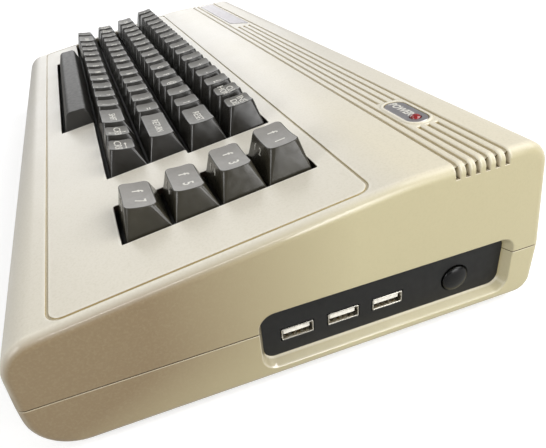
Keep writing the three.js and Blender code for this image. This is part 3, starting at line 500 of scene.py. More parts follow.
class Paint:
    """Builds a node material one node at a time."""

    def __init__(self, name):
        self.material = bpy.data.materials.new(name)
        self.material.use_nodes = True
        self.tree = self.material.node_tree
        self.shader = self.tree.nodes["Principled BSDF"]
        self.spots = self.tree.nodes.new("ShaderNodeTexCoord").outputs

    def feed(self, socket, value):
        """Links a socket, or sets its number or colour."""
        if isinstance(value, bpy.types.NodeSocket):
            self.tree.links.new(value, socket)
        else:
            socket.default_value = (*value, 1) if socket.type == "RGBA" else value

    def node(self, kind, inputs=(), **values):
        made = self.tree.nodes.new(kind)
        for key, value in values.items():
            setattr(made, key, value)
        for key, value in dict(inputs).items():
            self.feed(made.inputs[key], value)
        return made

    def set(self, **values):
        for key, value in values.items():
            self.feed(self.shader.inputs[key.replace("_", " ")], value)

    def split(self, spot):
        """X, Y and Z of a texture coordinate."""
        return self.node("ShaderNodeSeparateXYZ", {0: self.spots[spot]}).outputs

    def noise(self, size, detail=2.0, roughness=0.5, stretch=None):
        """Noise with lumps of a size in metres."""
        place = self.spots["Object"]
        if stretch:
            place = self.node("ShaderNodeMapping", {"Vector": place, "Scale": stretch}).outputs[0]
        inputs = {"Vector": place, "Scale": 1 / size, "Detail": detail, "Roughness": roughness}
        return self.node("ShaderNodeTexNoise", inputs).outputs["Fac"]

    def cells(self, scale, **values):
        made = self.node("ShaderNodeTexVoronoi", **values)
        self.feed(made.inputs["Vector"], self.spots["Object"])
        self.feed(made.inputs["Scale"], scale)
        return made.outputs["Distance"]

    def occlusion(self, distance, inside=False):
        made = self.node("ShaderNodeAmbientOcclusion", {"Distance": distance}, samples=4, inside=inside)
        return made.outputs["AO"]

    def ranged(self, value, low, high, start=0.3, end=0.7):
        """A value turned from one range into another."""
        inputs = {"Value": value, "From Min": start, "From Max": end, "To Min": low, "To Max": high}
        return self.node("ShaderNodeMapRange", inputs).outputs[0]

    def math(self, operation, *values):
        return self.node("ShaderNodeMath", enumerate(values), operation=operation).outputs[0]

    def both(self, first, second):
        return self.math("MULTIPLY", first, second)

    def between(self, share, first, second):
        """Colour between two, by a share."""
        return self.node("ShaderNodeMix", {0: share, 6: first, 7: second}, data_type="RGBA").outputs[2]

    def bump(self, height, distance, below=None):
        inputs = {"Height": height, "Strength": 1.0, "Distance": distance}
        return self.node("ShaderNodeBump", {**inputs, **({"Normal": below} if below else {})}).outputs[0]


def shades(color, change):
    return tuple(min(1, c * change) for c in color)


def shell_material(settings):
    """Shell plastic with a slow tone, yellowed flecks and dust, and painted shade and highlights. Its places are in
    metres.
    """
    paint = Paint("shell_plastic")
    ranged, both = paint.ranged, paint.both
    facing_x, _, facing_z = paint.split("Normal")
    x, y, z = paint.split("Object")
    outward, sideways = paint.math("ABSOLUTE", facing_x), paint.math("ABSOLUTE", x)
    # Masks of painted shade: the faces of the ends, the recess walls, and a share that darkens the ends toward the
    # front.
    ends = both(ranged(outward, 0, 1, 0.25, 0.95), ranged(sideways, 0, 1, 0.19, 0.197))
    recess = both(ranged(sideways, 0, 0.85, 0.1965, 0.1975), ranged(z, 1, 0, 0.034, 0.04))
    front_shade_share = both(ranged(y, 1.6, 0, -0.1, 0.02), ranged(z, 0.5, 1, 0, 0.03))
    shaded_end_tint = paint.between(front_shade_share, settings.aged_and_shaded_color, settings.end_shade_color)
    edge = paint.occlusion(0.0012, inside=True)
    crease = paint.occlusion(0.0016)
    field = both(paint.math("COMPARE", x, 0, 0.19), paint.math("COMPARE", y, -0.028, 0.051))
    upright = ranged(paint.math("ABSOLUTE", facing_z), 1, 0, 0.2, 0.5)
    base = settings.color
    for share, color in (
        # Painted warm shading, rising toward the right end.
        (ranged(x, 0, 1, 0.03, 0.2), settings.tone_and_warm_shade_color),
        (ranged(paint.noise(0.09, 3), 0, 0.4, 0.35, 0.7), shades(settings.tone_and_warm_shade_color, 0.95)),  # slow tone
        (ranged(y, 0.5, 0, 0.03, 0.045), shades(settings.color, 0.82)),  # darker in front of the bend: painted shade where the keyboard deck tilts away from the rear light
        # Painted shade on the ends and the recess walls: yellower, and darker toward the front.
        (paint.math("MAXIMUM", ends, recess), shaded_end_tint),
        (ranged(paint.noise(0.0009, 2), 0, 0.16, 0.45, 0.75), shades(settings.aged_and_shaded_color, 0.8)),  # flecks
        # Painted highlight along upward-facing convex edges.
        (both(ranged(edge, 0.7, 0, 0.5, 0.95), ranged(facing_z, 0, 1, 0.1, 0.6)), settings.edge_highlight_color),
        # Dust and painted shade in the grooves and creases.
        (ranged(crease, 1, 0, 0.45, 0.9), settings.groove_dust_and_shade_color),
        # Dirt and painted shade deep in the slots and seams of the ends.
        (both(ranged(crease, 1, 0, 0.42, 0.75), ranged(sideways, 0, 1, 0.1975, 0.2)), settings.crevice_dirt_and_shade_color),
        (both(field, upright), shades(settings.crevice_dirt_and_shade_color, 0.4)),  # painted shade on the walls of the key openings
    ):
        base = paint.between(share, base, color)
    normal = paint.bump(paint.noise(0.0006, 3, 0.6), settings.grain, paint.bump(paint.noise(0.02, 1), 0.00008))
    rounded = both(ranged(outward, 0, 0.8, 0.12, 0.4), ranged(outward, 1, 0, 0.85, 0.98))
    polished = both(rounded, both(ranged(y, 0, 1, -0.097, -0.08), ranged(y, 1, 0, 0, 0.045)))
    paint.set(
        Base_Color=base, Roughness=ranged(paint.noise(0.012, 4), 0.29, 0.37), Normal=normal, IOR=1.46,
        Coat_Weight=polished, Coat_Roughness=0.06, Coat_IOR=2.1)
    return paint.material


def moulded(name, color, light, tone, rough, grain, depth, waves=None, **sockets):
    """Plastic or rubber whose shade, roughness and grain follow noises, each given as its size and detail."""
    paint = Paint(name)
    size, detail, smooth, dull = rough
    below = paint.bump(paint.noise(*waves[:2]), waves[2]) if waves else None
    paint.set(
        Base_Color=paint.between(paint.ranged(paint.noise(*tone), 0, 1), *(shades(color, change) for change in light)),
        Roughness=paint.ranged(paint.noise(size, detail), smooth, dull),
        Normal=paint.bump(paint.noise(*grain), depth, below), **sockets)
    return paint.material


def cap_material(name, color, roughness, depth, gloss=1.5):
    """Glossy moulded plastic, satin on the tops where fingers go."""
    rough = (0.0025, 4, roughness - 0.05, roughness + 0.07)
    return moulded(
        name, color, (0.94, 1.1), (0.006, 3), rough, (0.00035, 3, 0.6), depth, (0.006, 1, 0.00006), IOR=gloss)


def plain_material(name, color, roughness, size, depth):
    """Small hidden or rubbery parts with a slight texture."""
    rough = (size * 3, 3, roughness - 0.06, roughness + 0.08)
    return moulded(name, color, (0.82, 1.12), (size * 6, 3), rough, (size, 3), depth)


def metal_material(name, color, roughness, stretch=(1, 1, 1)):
    """Plated or brushed metal with fine lines."""
    paint = Paint(name)
    lines = paint.noise(0.0008, 4, 0.6, stretch)
    paint.set(
        Base_Color=paint.between(paint.ranged(lines, 0, 1), shades(color, 0.86), color),
        Roughness=paint.ranged(paint.noise(0.002, 3), roughness - 0.05, roughness + 0.08),
        Normal=paint.bump(lines, 0.000008), Metallic=1.0)
    return paint.material


def board_material():
    """Circuit board with its tracks under green lacquer."""
    paint = Paint("board_lacquer")
    lines = paint.ranged(paint.cells(420, feature="DISTANCE_TO_EDGE", voronoi_dimensions="3D"), 1, 0, 0.04, 0.07)
    paint.set(
        Base_Color=paint.between(lines, srgb(26, 84, 48), srgb(58, 124, 70)),
        Roughness=paint.ranged(paint.noise(0.003, 3), 0.28, 0.4), Normal=paint.bump(lines, 0.00003))
    return paint.material


def lamp_material(color):
    """Clear red lens with facets inside, and painted glints on them."""
    paint = Paint("lamp_lens")
    facets = paint.cells(900)
    base = paint.between(paint.ranged(paint.noise(0.0012, 2), 0, 1), shades(color, 0.35), color)
    paint.set(
        # Painted glints: white dots at the middle of each facet cell.
        Base_Color=paint.between(paint.ranged(facets, 1, 0, 0.08, 0.22), base, srgb(250, 190, 180)),
        Roughness=paint.ranged(paint.noise(0.001, 2), 0.06, 0.12), Normal=paint.bump(facets, 0.0001), IOR=1.55,
        Coat_Weight=0.6)
    return paint.material


# Case


def case_outline():
    rear_top = BEND_Z + (CASE_REAR - REAR_LEAN - BEND_Y) * tan(REAR_DECK_ANGLE)
    nose = DECK_HEIGHT + (CASE_FRONT + FRONT_LEAN - KEYBOARD_Y) * tan(DECK_ANGLE)
    return rounded_outline([
        (CASE_FRONT + UNDER_LEAN, FOOT_HEIGHT, FRONT_UNDER_RADIUS, 16),
        (CASE_REAR - UNDER_LEAN, FOOT_HEIGHT, REAR_UNDER_RADIUS, 14),
        (CASE_REAR, SEAM_HEIGHT, 0, 0),
        (CASE_REAR - REAR_LEAN, rear_top, REAR_TOP_RADIUS, 14),
        (BEND_Y, BEND_Z, BEND_RADIUS, 12),
        (CASE_FRONT + FRONT_LEAN, nose, NOSE_RADIUS, 16),
        (CASE_FRONT, SEAM_HEIGHT, 0, 0),
    ])


def case_body(distance, steps=8):
    """The whole case body, drawn in all round by a distance."""
    outline = inset(case_outline(), distance)
    radius, side = END_RADIUS - distance, CASE_SIDE - distance
    rings = lined_up(outline, *((radius * (1 - s), side - radius + radius * c) for s, c in quarter(steps)))
    return solid(rings + [[Vector((-p.x, p.y, p.z)) for p in ring] for ring in rings[::-1]])


def halved(bm, height, keep_upper):
    """The part of a closed mesh above or below a height, closed again there."""
    bmesh.ops.bisect_plane(
        bm, geom=bm.verts[:] + bm.edges[:] + bm.faces[:], dist=1e-5, plane_co=(0, 0, height), plane_no=UP,
        clear_inner=keep_upper, clear_outer=not keep_upper)
    bmesh.ops.holes_fill(bm, edges=[edge for edge in bm.edges if edge.is_boundary])
    return placed(bm)


def half_shell(settings, keep_upper):
    """Hollow upper or lower half of the case, with a softened seam and the walls of the recess."""
    sign = 1 if keep_upper else -1
    height = SEAM_HEIGHT + sign * SEAM_GAP / 2
    bm = halved(case_body(0), height, keep_upper)
    spare = [vertex for vertex in bm.verts if 1e-4 < sign * (vertex.co.z - height) < SEAM_CLEAR]
    bmesh.ops.dissolve_verts(bm, verts=spare)
    rim = [e for e in bm.edges if all(abs(v.co.z - height) < 1e-4 for v in e.verts)]
    bmesh.ops.bevel(bm, geom=rim, offset=settings.seam_radius / MM, segments=3, profile=0.5, affect="EDGES")
    for vertex in bm.verts:
        vertex.co.x = max(-CASE_SIDE, min(CASE_SIDE, vertex.co.x))
    bm = combine(bm, halved(case_body(WALL, 5), height - sign * OVERRUN, keep_upper), "DIFFERENCE")
    walls = recess_solid((-RECESS_WALL, PANEL_BACK - FIT_GAP - PANEL_LIP), (-RECESS_WALL, CASE_SIDE - 1))
    bm = combine(bm, halved(walls, height + sign * 0.02, keep_upper), "UNION")
    return carve(bm, recess_tools())


def recess_solid(*sections):
    """A solid through outlines of the recess, each drawn in by a distance, at one X."""
    return solid(lined_up(rectangle(*RECESS, RECESS_RADIUS, 10), *sections))


def recess_tools():
    """Cutters of the side recess: its drafted pocket with a rounded rim, the seat of the panel, the way in."""
    rim, lean = RECESS_RIM, RECESS_DRAFT / RECESS_DEPTH
    pocket = [(RECESS_DRAFT, PANEL_FACE)]
    pocket += [
        (lean * rim * (1 - s) - rim * (1 - c) * RIM_SPREAD, CASE_SIDE - rim + rim * s) for s, c in quarter(6)]
    pocket.append((-rim * RIM_SPREAD, CASE_SIDE + OVERRUN))
    seat = RECESS_DRAFT - PANEL_OVERLAP - FIT_GAP
    return [
        recess_solid(*pocket),
        recess_solid((seat, PANEL_BACK - FIT_GAP), (seat, PANEL_FACE + 0.01)),
        recess_solid((RECESS_DRAFT, PANEL_BACK - PANEL_LIP - OVERRUN), (RECESS_DRAFT, PANEL_FACE)),
    ]


def opening_tool(outline, radius, bottom, matrix, steps=5):
    """Cutter of an opening whose upper edge is rounded over."""
    edge = [(-radius * (1 - c), -radius + radius * s) for s, c in quarter(steps)]
    return solid(stacked(outline, (0, bottom), *edge, (-radius, OPENING_TOP)), matrix)


def key_openings():
    """Outlines of the main opening, which follows the key lines and the space bar, and of the function keys."""
    gap = OPENING_GAP
    ends = [start + sum(width * len(words) for _, width, words in keys) for start, keys in KEY_LINES]
    left, right = -0.25 * PITCH - gap, ends[0] * PITCH + gap
    upper_right = ends[2] * PITCH + gap
    bar_left, bar_right = BAR_START * PITCH - gap, (BAR_START + BAR_WIDTH) * PITCH + gap
    middle, rear = 2 * PITCH, 4 * PITCH + gap
    main = [
        (left, -gap), (bar_left, -gap), (bar_left, -PITCH - gap), (bar_right, -PITCH - gap), (bar_right, -gap),
        (right, -gap), (right, middle - gap), (upper_right, middle - gap), (upper_right, rear), (-gap, rear),
        (-gap, middle + gap), (left, middle + gap),
    ]
    side_left, side_right = FUNCTION_START * PITCH - gap, (FUNCTION_START + FUNCTION_WIDTH) * PITCH + gap
    return [
        rounded_outline([(x, y, 0.8, 3) for x, y in main]),
        rectangle(side_left, -gap, side_right, rear, 0.8, 3),
    ]


def channel_profile(half, flare, depth, corner):
    """Cross-section of a groove, as (across, height) points, with rounded lips and a rounded floor."""
    side = [(half + flare, GROOVE_LIFT)]
    side += [(half + flare * (1 - s), -flare * (1 - c)) for s, c in quarter(4)]
    side += [(half - corner * (1 - c), -depth + corner * (1 - s)) for s, c in quarter(4)]
    return side + [(-across, height) for across, height in side[::-1]]


def channel_ring(place, outward, across, profile, limit=None):
    """The groove's cross-section at a place on the surface, never deeper than a limit."""
    return [place + across * y + outward * (z if limit is None else max(z, -limit)) for y, z in profile]


def lip_rings(place, along, outward, across, profile, flare):
    """Rings that close a groove with a rounded lip at its end. The direction along leads out of the groove."""
    return [
        channel_ring(place + along * (flare * (1 - c)), outward, across, profile, flare * (1 - s))
        for s, c in quarter(4)
    ]


def border_tool():
    """Cutter of the thin groove round the keyboard field."""
    outline = rectangle(*BORDER, BORDER_RADIUS, 8)
    profile = channel_profile(BORDER_WIDTH / 2, 0.35, BORDER_DEPTH, 0.2)
    rings = []
    for point, far in zip(inset(outline, BORDER_WIDTH / 2), inset(outline, -1)):
        across = Vector((*(far - point), 0)).normalized()
        rings.append(channel_ring(Vector((*point, 0)), UP, across, profile))
    return solid(rings, KEYBOARD, closed=True)


def vent_path(side, shallow, deep, across):
    """Rings of a groove from the deck over the rounded end of the case and down its side."""
    out = Vector((side, 0, 0))
    corner = Vector((side * (CASE_SIDE - END_RADIUS), 0, -END_RADIUS))
    rings = [channel_ring(corner + UP * END_RADIUS, UP, across, shallow)]
    for step, (s, c) in list(enumerate(quarter(8)))[1:-1]:
        normal = UP * c + out * s
        for profile in [shallow] * (step <= DEEP_FROM) + [deep] * (step >= DEEP_FROM):
            rings.append(channel_ring(corner + normal * END_RADIUS, normal, across, profile))
    bottom = Vector((side * CASE_SIDE, 0, VENT_END_LIP - VENT_END_DROP))
    rings += [channel_ring(place, out, across, deep) for place in (corner + out * END_RADIUS, bottom)]
    return rings + lip_rings(bottom, -UP, out, across, deep, VENT_END_LIP)


def vent_runs(index):
    """Runs of one groove as pairs of ends. An end of None goes over the end of the case."""
    if index not in SHORT_VENTS:
        return [(None, None)]
    reach = POWER_BADGE_HALF[0] + POWER_RIM + POWER_MARGIN
    name_end = NAME_BADGE[1] + NAME_SLANT + NAME_MARGIN
    return [
        (None, NAME_BADGE[0] - NAME_MARGIN), (name_end, POWER_BADGE_X - reach), (POWER_BADGE_X + reach, None)]


def vent_tools():
    shallow = channel_profile(VENT_HALF - 0.1, VENT_FLARE, VENT_DEPTH, 0.5)
    deep = channel_profile(VENT_HALF + 0.1, 0.5, VENT_END_DEPTH, 0.2)
    across = Vector((0, 1, 0))

    def vent_end(x, side):
        if x is None:
            return vent_path(side, shallow, deep, across)
        place = Vector((x - side * VENT_FLARE, 0, 0))
        lips = lip_rings(place, Vector((side, 0, 0)), UP, across, shallow, VENT_FLARE)
        return [channel_ring(place, UP, across, shallow)] + lips

    return [
        solid(vent_end(left, -1)[::-1] + vent_end(right, 1),
              REAR_DECK @ moved(0, VENT_INSET + index * VENT_PITCH, 0))
        for index in range(VENT_COUNT) for left, right in vent_runs(index)
    ]


def power_badge_outline(margin):
    long, short = POWER_BADGE_HALF[0] + margin, POWER_BADGE_HALF[1] + margin
    return rectangle(
        POWER_BADGE_X - long, BADGE_LINE - short, POWER_BADGE_X + long, BADGE_LINE + short, short - 0.25, 12)


def name_badge_outline(margin):
    left, right = NAME_BADGE
    front, rear = BADGE_LINE - NAME_HALF, BADGE_LINE + NAME_HALF
    corners = [(left, front), (right, front), (right + NAME_SLANT, rear), (left, rear)]
    return inset(rounded_outline([(x, y, 0.6, 3) for x, y in corners]), -margin)


def badge_rim():
    """The raised rim round the power badge."""
    lines = zip(power_badge_outline(FIT_GAP), power_badge_outline(POWER_RIM))
    rings = [[Vector((*near.lerp(far, share), height)) for share, height in RIM_SECTION] for near, far in lines]
    return solid(rings, REAR_DECK, closed=True)


def lamp_tool(bottom, matrix):
    rings = turned_rings([(LAMP_RADIUS + FIT_GAP, bottom), (LAMP_RADIUS + FIT_GAP, OVERRUN)], 48)
    return solid(rings, matrix @ LAMP_PLACE)


def shell_top(settings):
    radius, under = settings.edge_radius / MM, -WALL - OVERRUN
    tools = [opening_tool(outline, radius, under, KEYBOARD) for outline in key_openings()]
    tools += [border_tool(), *vent_tools()]
    tools.append(opening_tool(name_badge_outline(FIT_GAP), 0.2, BADGE_SEAT, REAR_DECK, steps=2))
    tools.append(solid(prism(power_badge_outline(FIT_GAP), BADGE_SEAT, OVERRUN), REAR_DECK))
    tools.append(lamp_tool(under, REAR_DECK))
    return combine(carve(half_shell(settings, True), tools), badge_rim(), "UNION")


def shell_bottom(settings):
    bm = half_shell(settings, False)
    floor = FOOT_HEIGHT
    well = [(SCREW_WELL, 0), (SCREW_WELL, floor), (SCREW_HEAD + 0.4, floor + 0.4),
            (SCREW_HEAD + 0.3, floor + SCREW_DEPTH), (SCREW_BORE, floor + SCREW_DEPTH), (SCREW_BORE, SEAM_HEIGHT + 1)]
    for _, x in SCREWS:
        place = moved(x, SCREW_Y, 0)
        boss = solid(turned_rings([(BOSS_RADIUS, 0), (BOSS_RADIUS, SEAM_HEIGHT - 1)], 32), place)
        bm = combine(bm, combine(boss, case_body(WALL / 2), "INTERSECT"), "UNION")
        bm = combine(bm, solid(turned_rings(well, 40), place), "DIFFERENCE")
    tools = []
    for _, x, outline, _, _ in rear_sockets():
        flipped = [Vector((point.x, -point.y)) for point in inset(outline, -FIT_GAP)][::-1]
        tools.append(opening_tool(flipped, 0.3, -6, moved(x, REAR_FACE, BOARD_TOP, -pi / 2), steps=3))
    return carve(bm, tools)


# Keys


def drawn(edges, distance):
    left, front, right, rear = edges
    return (left + distance, front + distance, right - distance, rear - distance)


def centre(edges):
    left, front, right, rear = edges
    return Vector(((left + right) / 2, (front + rear) / 2))


def edge_points(edges, radius):
    """Points round a cap at its (left, front, right, rear) edges, with some along its sides."""
    corners = rectangle(*edges, radius, CORNER_STEPS)
    points = []
    for index, point in enumerate(corners):
        points.append(point)
        if index % (CORNER_STEPS + 1) == CORNER_STEPS:
            after = corners[(index + 1) % len(corners)]
            points += [point.lerp(after, part / SIDE_PARTS) for part in range(1, SIDE_PARTS)]
    return points


def add_plunger(bm, middle, top):
    square = rectangle(-PLUNGER_HALF, -PLUNGER_HALF, PLUNGER_HALF, PLUNGER_HALF, 0.4, 2)
    add_loft(bm, prism([point + middle for point in square], -PLUNGER_REACH, top))


class Cap:
    """One cap: its cell in the keyboard field and the shape of its top. Its sides are slot 0, its top slot 1."""

    def __init__(self, start, width, line, shares, settings, corner=CAP_CORNER):
        front_inset, rear_inset, self.level, rear_height = (share * PITCH for share in shares)
        self.cell = left, front, right, rear = (
            start * PITCH, line * PITCH, (start + width) * PITCH, (line + 1) * PITCH)
        self.top = (left + CAP_SIDE_INSET, front + front_inset, right - CAP_SIDE_INSET, rear - rear_inset)
        self.slope = (rear_height - self.level) / (self.top[3] - self.top[1])
        self.across, self.along = settings.dish_across / MM, settings.dish_along / MM
        self.roof = min(self.level, rear_height) - CAP_ROOF
        self.corner = corner
        self.middle, self.top_middle = centre(self.cell), centre(self.top)

    def point(self, spot, drop=0.0):
        """A point of the sloping, dished top, or below it by a drop."""
        left, front, right, rear = self.top
        u = (2 * spot.x - left - right) / (right - left)
        v = (2 * spot.y - front - rear) / (rear - front)
        z = self.level + self.slope * (spot.y - front) - drop
        z -= self.across * (1 - min(1, u * u)) + self.along * (1 - min(1, v * v))
        return Vector((spot.x, spot.y, z))

    def surface(self, x, y):
        """Point and outward direction of the top."""
        return self.point(Vector((x, y))), UP

    def rim(self, shrink, drop):
        """Ring round the top, drawn in and lowered."""
        edges = drawn(self.top, shrink - CAP_SPREAD)
        return [self.point(spot, drop) for spot in edge_points(edges, self.corner - shrink * 0.8)]

    def rings(self):
        """Rings from the roof inside down to the foot, and up outside to the rim of the top."""
        inner, outer = drawn(self.cell, CAP_GAP + CAP_WALL), drawn(self.cell, CAP_GAP)
        foot, low = at_height(edge_points(outer, FOOT_CORNER), -SKIRT_DROP), self.rim(0, CAP_EDGE)
        rings = [
            at_height(edge_points(drawn(self.top, CAP_WALL), INNER_CORNER), self.roof),
            at_height(edge_points(inner, INNER_CORNER), -SKIRT_DROP), foot,
        ]
        rings += [[a.lerp(b, share) for a, b in zip(foot, low)] for share in SIDE_SHARES]
        return rings + [self.rim(CAP_EDGE * (1 - c), CAP_EDGE * (1 - s)) for s, c in quarter(4)]

    def add_to(self, bm):
        rim = last = add_loft(bm, self.rings(), last=False)[-1]
        for share in BOWL_SHARES:
            spots = [self.top_middle.lerp(vertex.co.xy, share) for vertex in rim]
            row = [bm.verts.new(self.surface(*spot)[0]) for spot in spots]
            skin(bm, last, row, 1)
            last = row
        fan(bm, last, bm.verts.new(self.surface(*self.top_middle)[0]), 1)
        add_plunger(bm, self.middle, self.roof + PLUNGER_SINK)


def arrow_bmesh(size, turn):
    """A thin arrow about its middle, pointing along its turn in degrees."""
    points = [(-0.5, -0.07), (0.18, -0.07), (0.18, -0.22), (0.5, 0), (0.18, 0.22), (0.18, 0.07), (-0.5, 0.07)]
    outline = [Vector((x * size, y * size)) for x, y in points]
    bm = solid(prism(outline, -0.5, 0.5))
    bm.transform(Matrix.Rotation(radians(turn), 4, "Z"))
    return bm


def text_bmesh(words, size, weight=0.0):
    """Words as a thin solid about their middle, from -0.5 to 0.5 in height."""
    curve = bpy.data.curves.new("words", "FONT")
    curve.body = words
    curve.size = size * FONT_SCALE
    curve.align_x = curve.align_y = "CENTER"
    curve.extrude = 0.5
    curve.resolution_u = 3
    curve.offset = size * weight
    bm = taken(add_object("words", curve))
    bmesh.ops.remove_doubles(bm, verts=bm.verts, dist=0.001)
    return placed(bm)


def lay(bm, made, place, surface, slot=2, squeeze=1.0):
    """Lays thin words or an arrow on a surface that gives a point and its outward direction for a place."""
    for vertex in made.verts:
        x, y, z = vertex.co
        point, outward = surface(place[0] + x * squeeze, place[1] + y)
        vertex.co = point + outward * (LETTER_RAISED if z > 0 else -LETTER_SUNK)
    for face in made.faces:
        face.material_index = slot
    mesh = as_mesh(made, "words")
    bm.from_mesh(mesh)
    bpy.data.meshes.remove(mesh)


def add_legend(bm, cap, words, settings):
    """The words of a cap, one line for each part, on its dished top."""
    left, front, right, rear = cap.top
    lines = words.split("|")
    several = len(lines) > 1
    for index, line in enumerate(line.strip() for line in lines):
        if not line:
            continue
        spread = THREE_LINES if len(lines) == 3 else TWO_LINES
        offset = (rear - front) * LINE_STEP * ((len(lines) - 1) / 2 - index) * spread
        x, y = cap.top_middle.x, cap.top_middle.y + offset
        wide = len(line) > 1
        size = (settings.word_size if wide else settings.letter_size) / MM
        size *= SMALL_LETTER if several and not wide else 1
        if several and line == "=":
            arrows = [(0, ARROW_SPREAD), (180, -ARROW_SPREAD)]
        else:
            arrows = [(ARROWS[line], 0)] if line in ARROWS else []
        for turn, shift in arrows:
            lay(bm, arrow_bmesh(size * 0.95, turn), (x + shift, y), cap.surface)
        if not arrows:
            squeeze = min(1.0, (right - left - WORD_MARGIN) / (size * LETTER_WIDTH * len(line))) if wide else 1.0
            lay(bm, text_bmesh(line, size), (x, y), cap.surface, squeeze=squeeze)


def add_front_words(bm, cap, words, size, shift):
    """Words on the sloping front of a cap, shifted from its middle."""
    foot = Vector((0, cap.cell[1] + CAP_GAP, -SKIRT_DROP))
    lip = Vector((0, cap.top[1], cap.level - CAP_EDGE))
    up = (lip - foot).normalized()
    origin = foot.lerp(lip, FRONT_WORD_LEVEL)

    def surface(x, y):
        return Vector((x, 0, 0)) + origin + up * y, Vector((0, -up.z, up.y))

    lay(bm, text_bmesh(words, size), (cap.middle.x + shift, 0), surface)


def add_tie(bm, caps):
    """The thin tie under a run of caps."""
    start, end = caps[0].middle, caps[-1].middle
    outline = rectangle(start.x, start.y - TIE_HALF, end.x, start.y + TIE_HALF)
    add_loft(bm, prism(outline, TIE_TOP - TIE_THICKNESS, TIE_TOP))


def place_keys(bm, node, materials):
    """A key, or a run of keys, as a piece that rides on its own body."""
    bm.transform(KEYBOARD)
    name = node.replace("_key", "_cap") if "_key" in node else node + "_cap"
    finish_piece(bm, name, materials, node, node, 50)


def bar_rings(cap):
    """The space bar: flat front slope, rounded ridge and rear slope, with its ends drawn in."""
    left, front, right, rear = drawn(cap.cell, CAP_GAP)
    level, start = cap.level, cap.top[1]
    outline = rounded_outline([
        (front, -SKIRT_DROP, 0.5, 3), (rear, -SKIRT_DROP, 0.5, 3),
        (cap.top[3], level + cap.slope * (cap.top[3] - start), 2.4, 8), (start, level, 3.4, 10),
    ])
    rings = []
    for end, side in ((left, -1), (right, 1)):
        ends = []
        for share, draw in ((0, 1.0), (0.1, 0.35), (0.3, 0.1), (0.6, 0)):
            ring = []
            for y, z in inset(outline, draw):
                lean = CAP_SIDE_INSET * 0.82 * max(0, (z + SKIRT_DROP) / (level + SKIRT_DROP))
                ring.append(Vector((end - side * (lean + share), y, z)))
            ends.append(ring)
        rings += ends[::-side]
    return rings


# Fittings


def usb_outline():
    return rectangle(-USB_HALF, 0, USB_HALF, USB_HEIGHT, 0.5, 3)


def rear_sockets():
    """Node, X, outline, inside and colour of the tongue of each socket at the rear."""
    half, corner = 7.5, 2.2
    hdmi = [(corner - half, 0, 0.3, 2), (half - corner, 0, 0.3, 2), (half, corner, 0.3, 2), (half, 6, 0.5, 3),
            (-half, 6, 0.5, 3), (-half, corner, 0.3, 2)]
    return [
        ("hdmi_socket", HDMI_X, rounded_outline(hdmi), HDMI_INSIDE, "black"),
        ("rear_usb_socket", REAR_USB_X, usb_outline(), USB_INSIDE, "white"),
        ("power_socket", POWER_SOCKET_X, rectangle(-4.5, 0, 4.5, 3.4, 1.4, 6), POWER_INSIDE, "black"),
    ]


def socket_mesh(outline, inside, matrix):
    """A metal socket that opens along +X, with a tongue (slot 1) and its contacts (slot 2)."""
    depth, tongue_half, low, high, pins = inside
    bm = bmesh.new()
    back = 2 - depth
    add_loft(bm, lined_up(
        outline, (0, -depth), (0, -0.15), (SOCKET_EDGE, 0), (SOCKET_WALL - SOCKET_EDGE, 0), (SOCKET_WALL, -0.15),
        (SOCKET_WALL, back)))
    tongue = rectangle(-tongue_half, low, tongue_half, high, 0.25, 2)
    add_loft(bm, lined_up(tongue, (0, back - 0.5), (0, -1.45), (0.25, -1.2)), 1)
    pitch = tongue_half * 2 / (pins + 0.4)
    for index in range(pins):
        y = (index - (pins - 1) / 2) * pitch
        pin = rectangle(y - pitch * 0.27, low - 0.18, y + pitch * 0.27, low + 0.1)
        add_loft(bm, lined_up(pin, (0, back), (0.05, -2.2)), 2)
    return placed(bm, matrix)


def panel_mesh():
    """The black panel with holes for the sockets and the button."""
    edge = RECESS_DRAFT - PANEL_OVERLAP
    radius = BUTTON_RADIUS + FIT_GAP
    profile = [(radius, -PANEL_THICKNESS - 1), (radius, -0.25), (radius + 0.25, 0), (radius + 0.25, 1)]
    tools = []
    for _, y in SIDE_SOCKETS:
        hole = rectangle(y - USB_HALF - FIT_GAP, BOARD_TOP - FIT_GAP, y + USB_HALF + FIT_GAP,
                         BOARD_TOP + USB_HEIGHT + FIT_GAP, 0.3, 3)
        tools.append(solid(lined_up(
            hole, (0, PANEL_BACK - 1), (0, PANEL_FACE - 0.2), (-0.2, PANEL_FACE), (-0.2, PANEL_FACE + 1))))
    tools.append(solid(turned_rings(profile, 64), BUTTON_PLACE))
    return carve(recess_solid((edge, PANEL_BACK), (edge, PANEL_FACE)), tools)


def dome(radius, rim, rise):
    """Points of a dome from its rim to its crown."""
    return [(radius * c, rim + rise * s) for s, c in quarter(10)[:-1]] + [(0, rim + rise)]


def button_mesh(steps):
    front = -PANEL_THICKNESS - FIT_GAP
    back = front - 1
    end = back - 5.2
    profile = [(0, end), (BUTTON_STEM, end), (BUTTON_STEM, back), (BUTTON_FLANGE, back), (BUTTON_FLANGE, front),
               (BUTTON_RADIUS, front), (BUTTON_RADIUS, BUTTON_RISE - 0.3)]
    return turned_solid(profile + dome(BUTTON_RADIUS, BUTTON_RISE - 0.25, BUTTON_DOME + 0.25), steps, BUTTON_PLACE)


def lamp_mesh(steps):
    profile = [(0, -LAMP_REACH), (LAMP_RADIUS, -LAMP_REACH), (LAMP_RADIUS, -0.1)]
    return turned_solid(profile + dome(LAMP_RADIUS, 0, LAMP_RISE), steps, REAR_DECK @ LAMP_PLACE)


def plate_mesh(outline):
    """A badge plate with softened upper edges."""
    return solid(stacked(
        outline, (0, BADGE_RISE - BADGE_THICKNESS), (0, BADGE_RISE - BADGE_EDGE), (BADGE_EDGE, BADGE_RISE)))


def foot_mesh(steps, x, y):
    profile = [(0, 0), (FOOT_RADIUS - 1.3, 0), (FOOT_RADIUS - 0.8, 0.2), (FOOT_RADIUS - 0.5, 0.8),
               (FOOT_RADIUS, FOOT_HEIGHT), (0, FOOT_HEIGHT)]
    return turned_solid(profile, steps, moved(x, y, 0))


